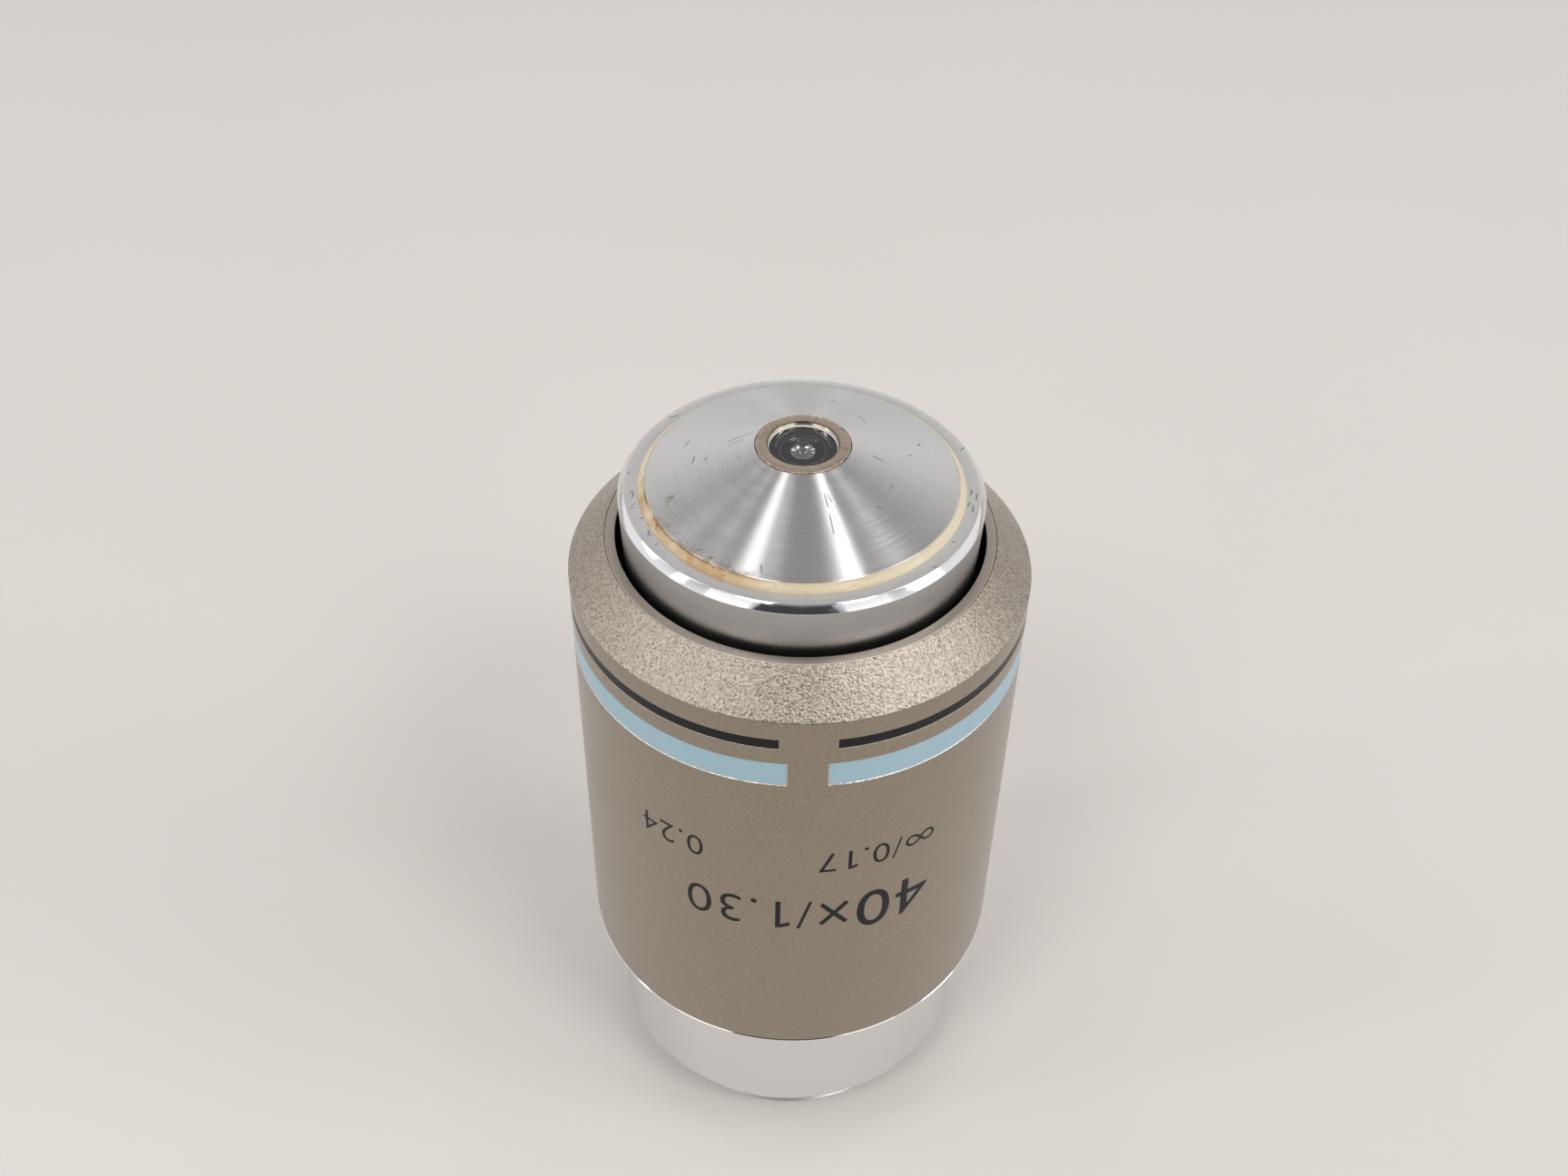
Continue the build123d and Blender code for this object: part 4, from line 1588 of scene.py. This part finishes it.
@dataclass
class FrontTip:
    """Cell of the front lens: the tan ring at the tip."""

    aperture_top: float = 2.55
    aperture_seat: float = 2.40
    lens_plane: float = 64.40
    ring_radius: float = 3.35
    lens_seat: float = 2.72
    lens_hollow: float = 61.84
    ring_foot: float = 62.60
    slope_radius: float = 6.20
    slope_foot: float = 61.50
    flange_top: float = 60.24
    flange_bottom: float = 59.24
    spigot_radius: float = 7.98
    inner_radius: float = 5.20
    inner_rim: float = 60.89
    nick_depth: float = 0.05
    nick_reach: float = 0.08
    nick_start: float = 0.15
    nick_grain: float = 2.2
    nick_decay: float = 0.7
    nick_octaves: int = 4

    def build(self) -> None:
        """Turns the cell and nicks the ring's outer edge."""
        low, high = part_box("tip_cell")
        top = high.z / MM
        lathe = Lathe()
        lathe.turn([
            Corner(self.aperture_seat, self.lens_plane),
            Corner(self.aperture_top, top, rounding=0.03),
            Corner(self.ring_radius, top, rounding=0.05),
            Corner(self.ring_radius, self.ring_foot),
            Corner(self.slope_radius, self.slope_foot),
            Corner(self.slope_radius, self.flange_top),
            Corner(high.x / MM, self.flange_top),
            Corner(high.x / MM, self.flange_bottom),
            Corner(self.spigot_radius, self.flange_bottom),
            Corner(self.spigot_radius, low.z / MM),
            Corner(self.inner_radius, low.z / MM),
            Corner(self.inner_radius, self.inner_rim),
            Corner(self.lens_seat, self.lens_hollow),
            Corner(self.lens_seat, self.lens_plane),
        ])
        for point in lathe.mesh.verts:
            radius = point.co.xy.length / MM
            if radius > self.ring_radius - self.nick_reach and point.co.z / MM > top - self.nick_reach:
                spot = point.co / MM * self.nick_grain
                rough = noise.fractal(spot, self.nick_decay, OCTAVE_STEP, self.nick_octaves)
                bite = max(0.0, rough - self.nick_start)
                point.co.xy *= 1.0 - bite * self.nick_depth / radius
                point.co.z -= bite * self.nick_depth * MM
        Piece("front_tip_ring", Body.LENS_UNIT, "worn_nickel", TIP_METAL, ("tip_cell",)).place(lathe.mesh)


@dataclass
class InnerWorks:
    """The CAD nodes that keep their solids: lenses, cells and stop."""

    lenses: tuple[str, ...] = (
        "meniscus_lens", "singlet_lens", "front_doublet_crown", "front_doublet_flint",
        "middle_doublet_flint", "middle_doublet_crown", "gauss_front_crown", "gauss_front_flint",
        "gauss_rear_flint", "gauss_rear_crown",
    )
    black_pieces: tuple[str, ...] = (
        "stop_ring", "lens_barrel", "meniscus_cell", "singlet_cell", "front_spacer", "front_doublet_cell",
        "middle_doublet_cell", "gauss_front_cell", "pupil_stop", "gauss_rear_cell", "retaining_ring",
    )
    steel_pieces: tuple[str, ...] = ("parfocal_shim", "guide_screw")

    def build(self) -> None:
        """Dresses the nodes."""
        dress(FRONT_GLASS, "front_lens")
        dress(GLASS, *self.lenses)
        dress(BLACK_COAT, *self.black_pieces)
        dress(STEEL, *self.steel_pieces)


# Studio


@dataclass(frozen=True)
class Lamp:
    """A soft rectangular lamp, in metres, with the brightness of its face."""

    name: str
    place: tuple[float, float, float]
    width: float
    length: float
    brightness: float

    def hang(self, aim: Vector) -> None:
        """Hangs the lamp and points it.

        Args:
            aim: The point that it faces.
        """
        data = bpy.data.lights.new(self.name, "AREA")
        data.shape = "RECTANGLE"
        data.size = self.width
        data.size_y = self.length
        data.energy = self.brightness * math.pi * self.width * self.length
        lamp = bpy.data.objects.new(self.name, data)
        lamp.location = self.place
        lamp.rotation_mode = "QUATERNION"
        lamp.rotation_quaternion = (aim - Vector(self.place)).to_track_quat("-Z", "Y")
        bpy.context.scene.collection.objects.link(lamp)


@dataclass
class Studio:
    """Pale table, soft lamps, room light and the camera."""

    table_reach: float = 4.0
    table_squares: int = 8
    room: Colour = (0.865, 0.865, 0.87)
    ceiling: Colour = (0.36, 0.355, 0.35)
    dark_side: Colour = (0.055, 0.055, 0.06)
    dark_turn: float = -0.065
    dark_half_width: float = 0.45
    dark_top: float = 0.70
    dark_turn_edge: float = 0.06
    dark_top_edge: float = 0.05
    wall_top: float = 0.22
    ceiling_edge: float = 0.85
    lamps: tuple[Lamp, ...] = (
        Lamp("lamp_over_left_near", (-0.311, -0.143, 0.90), 0.10, 0.08, 4.2),
        Lamp("lamp_over_left", (-0.213, 0.10, 0.90), 0.10, 0.08, 4.2),
        Lamp("lamp_over_left_far", (-0.151, 0.293, 0.90), 0.09, 0.06, 2.5),
        Lamp("lamp_over_right_near", (0.311, -0.143, 0.90), 0.10, 0.08, 5.0),
        Lamp("lamp_over_right", (0.213, 0.10, 0.90), 0.10, 0.08, 5.0),
        Lamp("lamp_over_right_far", (0.151, 0.293, 0.90), 0.09, 0.06, 2.5),
        Lamp("lamp_far_left", (-0.52, 0.11, 0.90), 0.03, 0.15, 1.6),
        Lamp("lamp_far_right", (0.52, 0.11, 0.90), 0.03, 0.15, 1.6),
        Lamp("lamp_top_left", (-0.36, -0.55, 0.84), 0.30, 0.26, 7.4),
        Lamp("lamp_top_right", (0.42, -0.55, 0.84), 0.30, 0.26, 8.4),
        Lamp("lamp_front_left", (-0.507, -0.535, 0.455), 0.38, 0.45, 0.52),
        Lamp("lamp_corner_left", (-0.715, -0.178, 0.50), 0.08, 0.70, 4.0),
        Lamp("lamp_side_left", (-0.726, 0.128, 0.50), 0.19, 0.45, 1.4),
        Lamp("lamp_front_right", (0.428, -0.60, 0.455), 0.41, 0.45, 0.42),
        Lamp("lamp_side_right", (0.71, -0.197, 0.52), 0.28, 0.70, 2.4),
    )
    lens_mm: float = 39.1285
    sensor_mm: float = 36.0
    near_clip: float = 0.005
    sighted_height: float = 54.37
    break_turn: float = -3.3
    camera_place: tuple[float, float, float] = (0.0, -94.6567, 82.4997)
    camera_right: tuple[float, float, float] = (0.99953242, 0.02618316, 0.01579206)
    camera_up: tuple[float, float, float] = (-0.02928114, 0.67087699, 0.74099034)

    def build(self) -> None:
        """Lays the table, hangs the lamps and sets the camera."""
        self.lay_table()
        self.light()
        self.set_camera()

    def lay_table(self) -> None:
        """Lays the table under the objective."""
        top = bmesh.new()
        squares = self.table_squares
        bmesh.ops.create_grid(top, x_segments=squares, y_segments=squares, size=self.table_reach)
        data = bpy.data.meshes.new("table")
        top.to_mesh(data)
        top.free()
        data.materials.append(PaleTable("pale_table").material())
        table = bpy.data.objects.new("table", data)
        bpy.context.scene.collection.objects.link(table)

    def light(self) -> None:
        """Sets the room light and hangs the lamps."""
        world = bpy.data.worlds.new("room")
        world.use_nodes = True
        graph = Graph(world.node_tree)
        way = graph.node("ShaderNodeTexCoord", {}, {}, "Generated")
        x, y, z = (graph.node("ShaderNodeSeparateXYZ", {}, {0: way}, axis) for axis in "XYZ")
        turn = abs(graph.math("ARCTAN2", x, 0 - y) - self.dark_turn)
        side = 1 - turn.rise(self.dark_half_width, self.dark_half_width + self.dark_turn_edge)
        below = 1 - z.rise(self.dark_top - self.dark_top_edge, self.dark_top + self.dark_top_edge)
        walls = graph.mix(z.rise(self.wall_top, self.ceiling_edge), self.room, self.ceiling)
        ground = world.node_tree.nodes["Background"].inputs["Color"]
        graph.feed(ground, graph.mix(side * below, walls, self.dark_side))
        bpy.context.scene.world = world
        low, high = cad_box
        aim = (low + high) / 2
        for lamp in self.lamps:
            lamp.hang(aim)

    def set_camera(self) -> None:
        """Sets the camera where the photograph was taken from."""
        data = bpy.data.cameras.new("camera")
        data.sensor_fit = "HORIZONTAL"
        data.sensor_width = self.sensor_mm
        data.lens = self.lens_mm
        data.clip_start = self.near_clip
        right = Vector(self.camera_right)
        up = Vector(self.camera_up)
        facing = Matrix((right, up, right.cross(up))).transposed().to_4x4()
        place = Vector(self.camera_place) + Vector((0.0, 0.0, self.sighted_height))
        turn = Matrix.Rotation(math.radians(self.break_turn), 4, "Z")
        camera = bpy.data.objects.new("camera", data)
        camera.matrix_world = turn @ Matrix.Translation(place * MM) @ facing
        bpy.context.scene.collection.objects.link(camera)
        bpy.context.scene.camera = camera
        bpy.context.scene.view_settings.view_transform = "Standard"


def main() -> None:
    """Builds the objective and the studio."""
    logging.basicConfig(level=logging.INFO, format="%(message)s")
    ThreadedMount().build()
    ReturnSpring().build()
    OuterSleeve().build()
    Nose().build()
    FrontTip().build()
    InnerWorks().build()
    Studio().build()


if __name__ == "__main__":
    main()
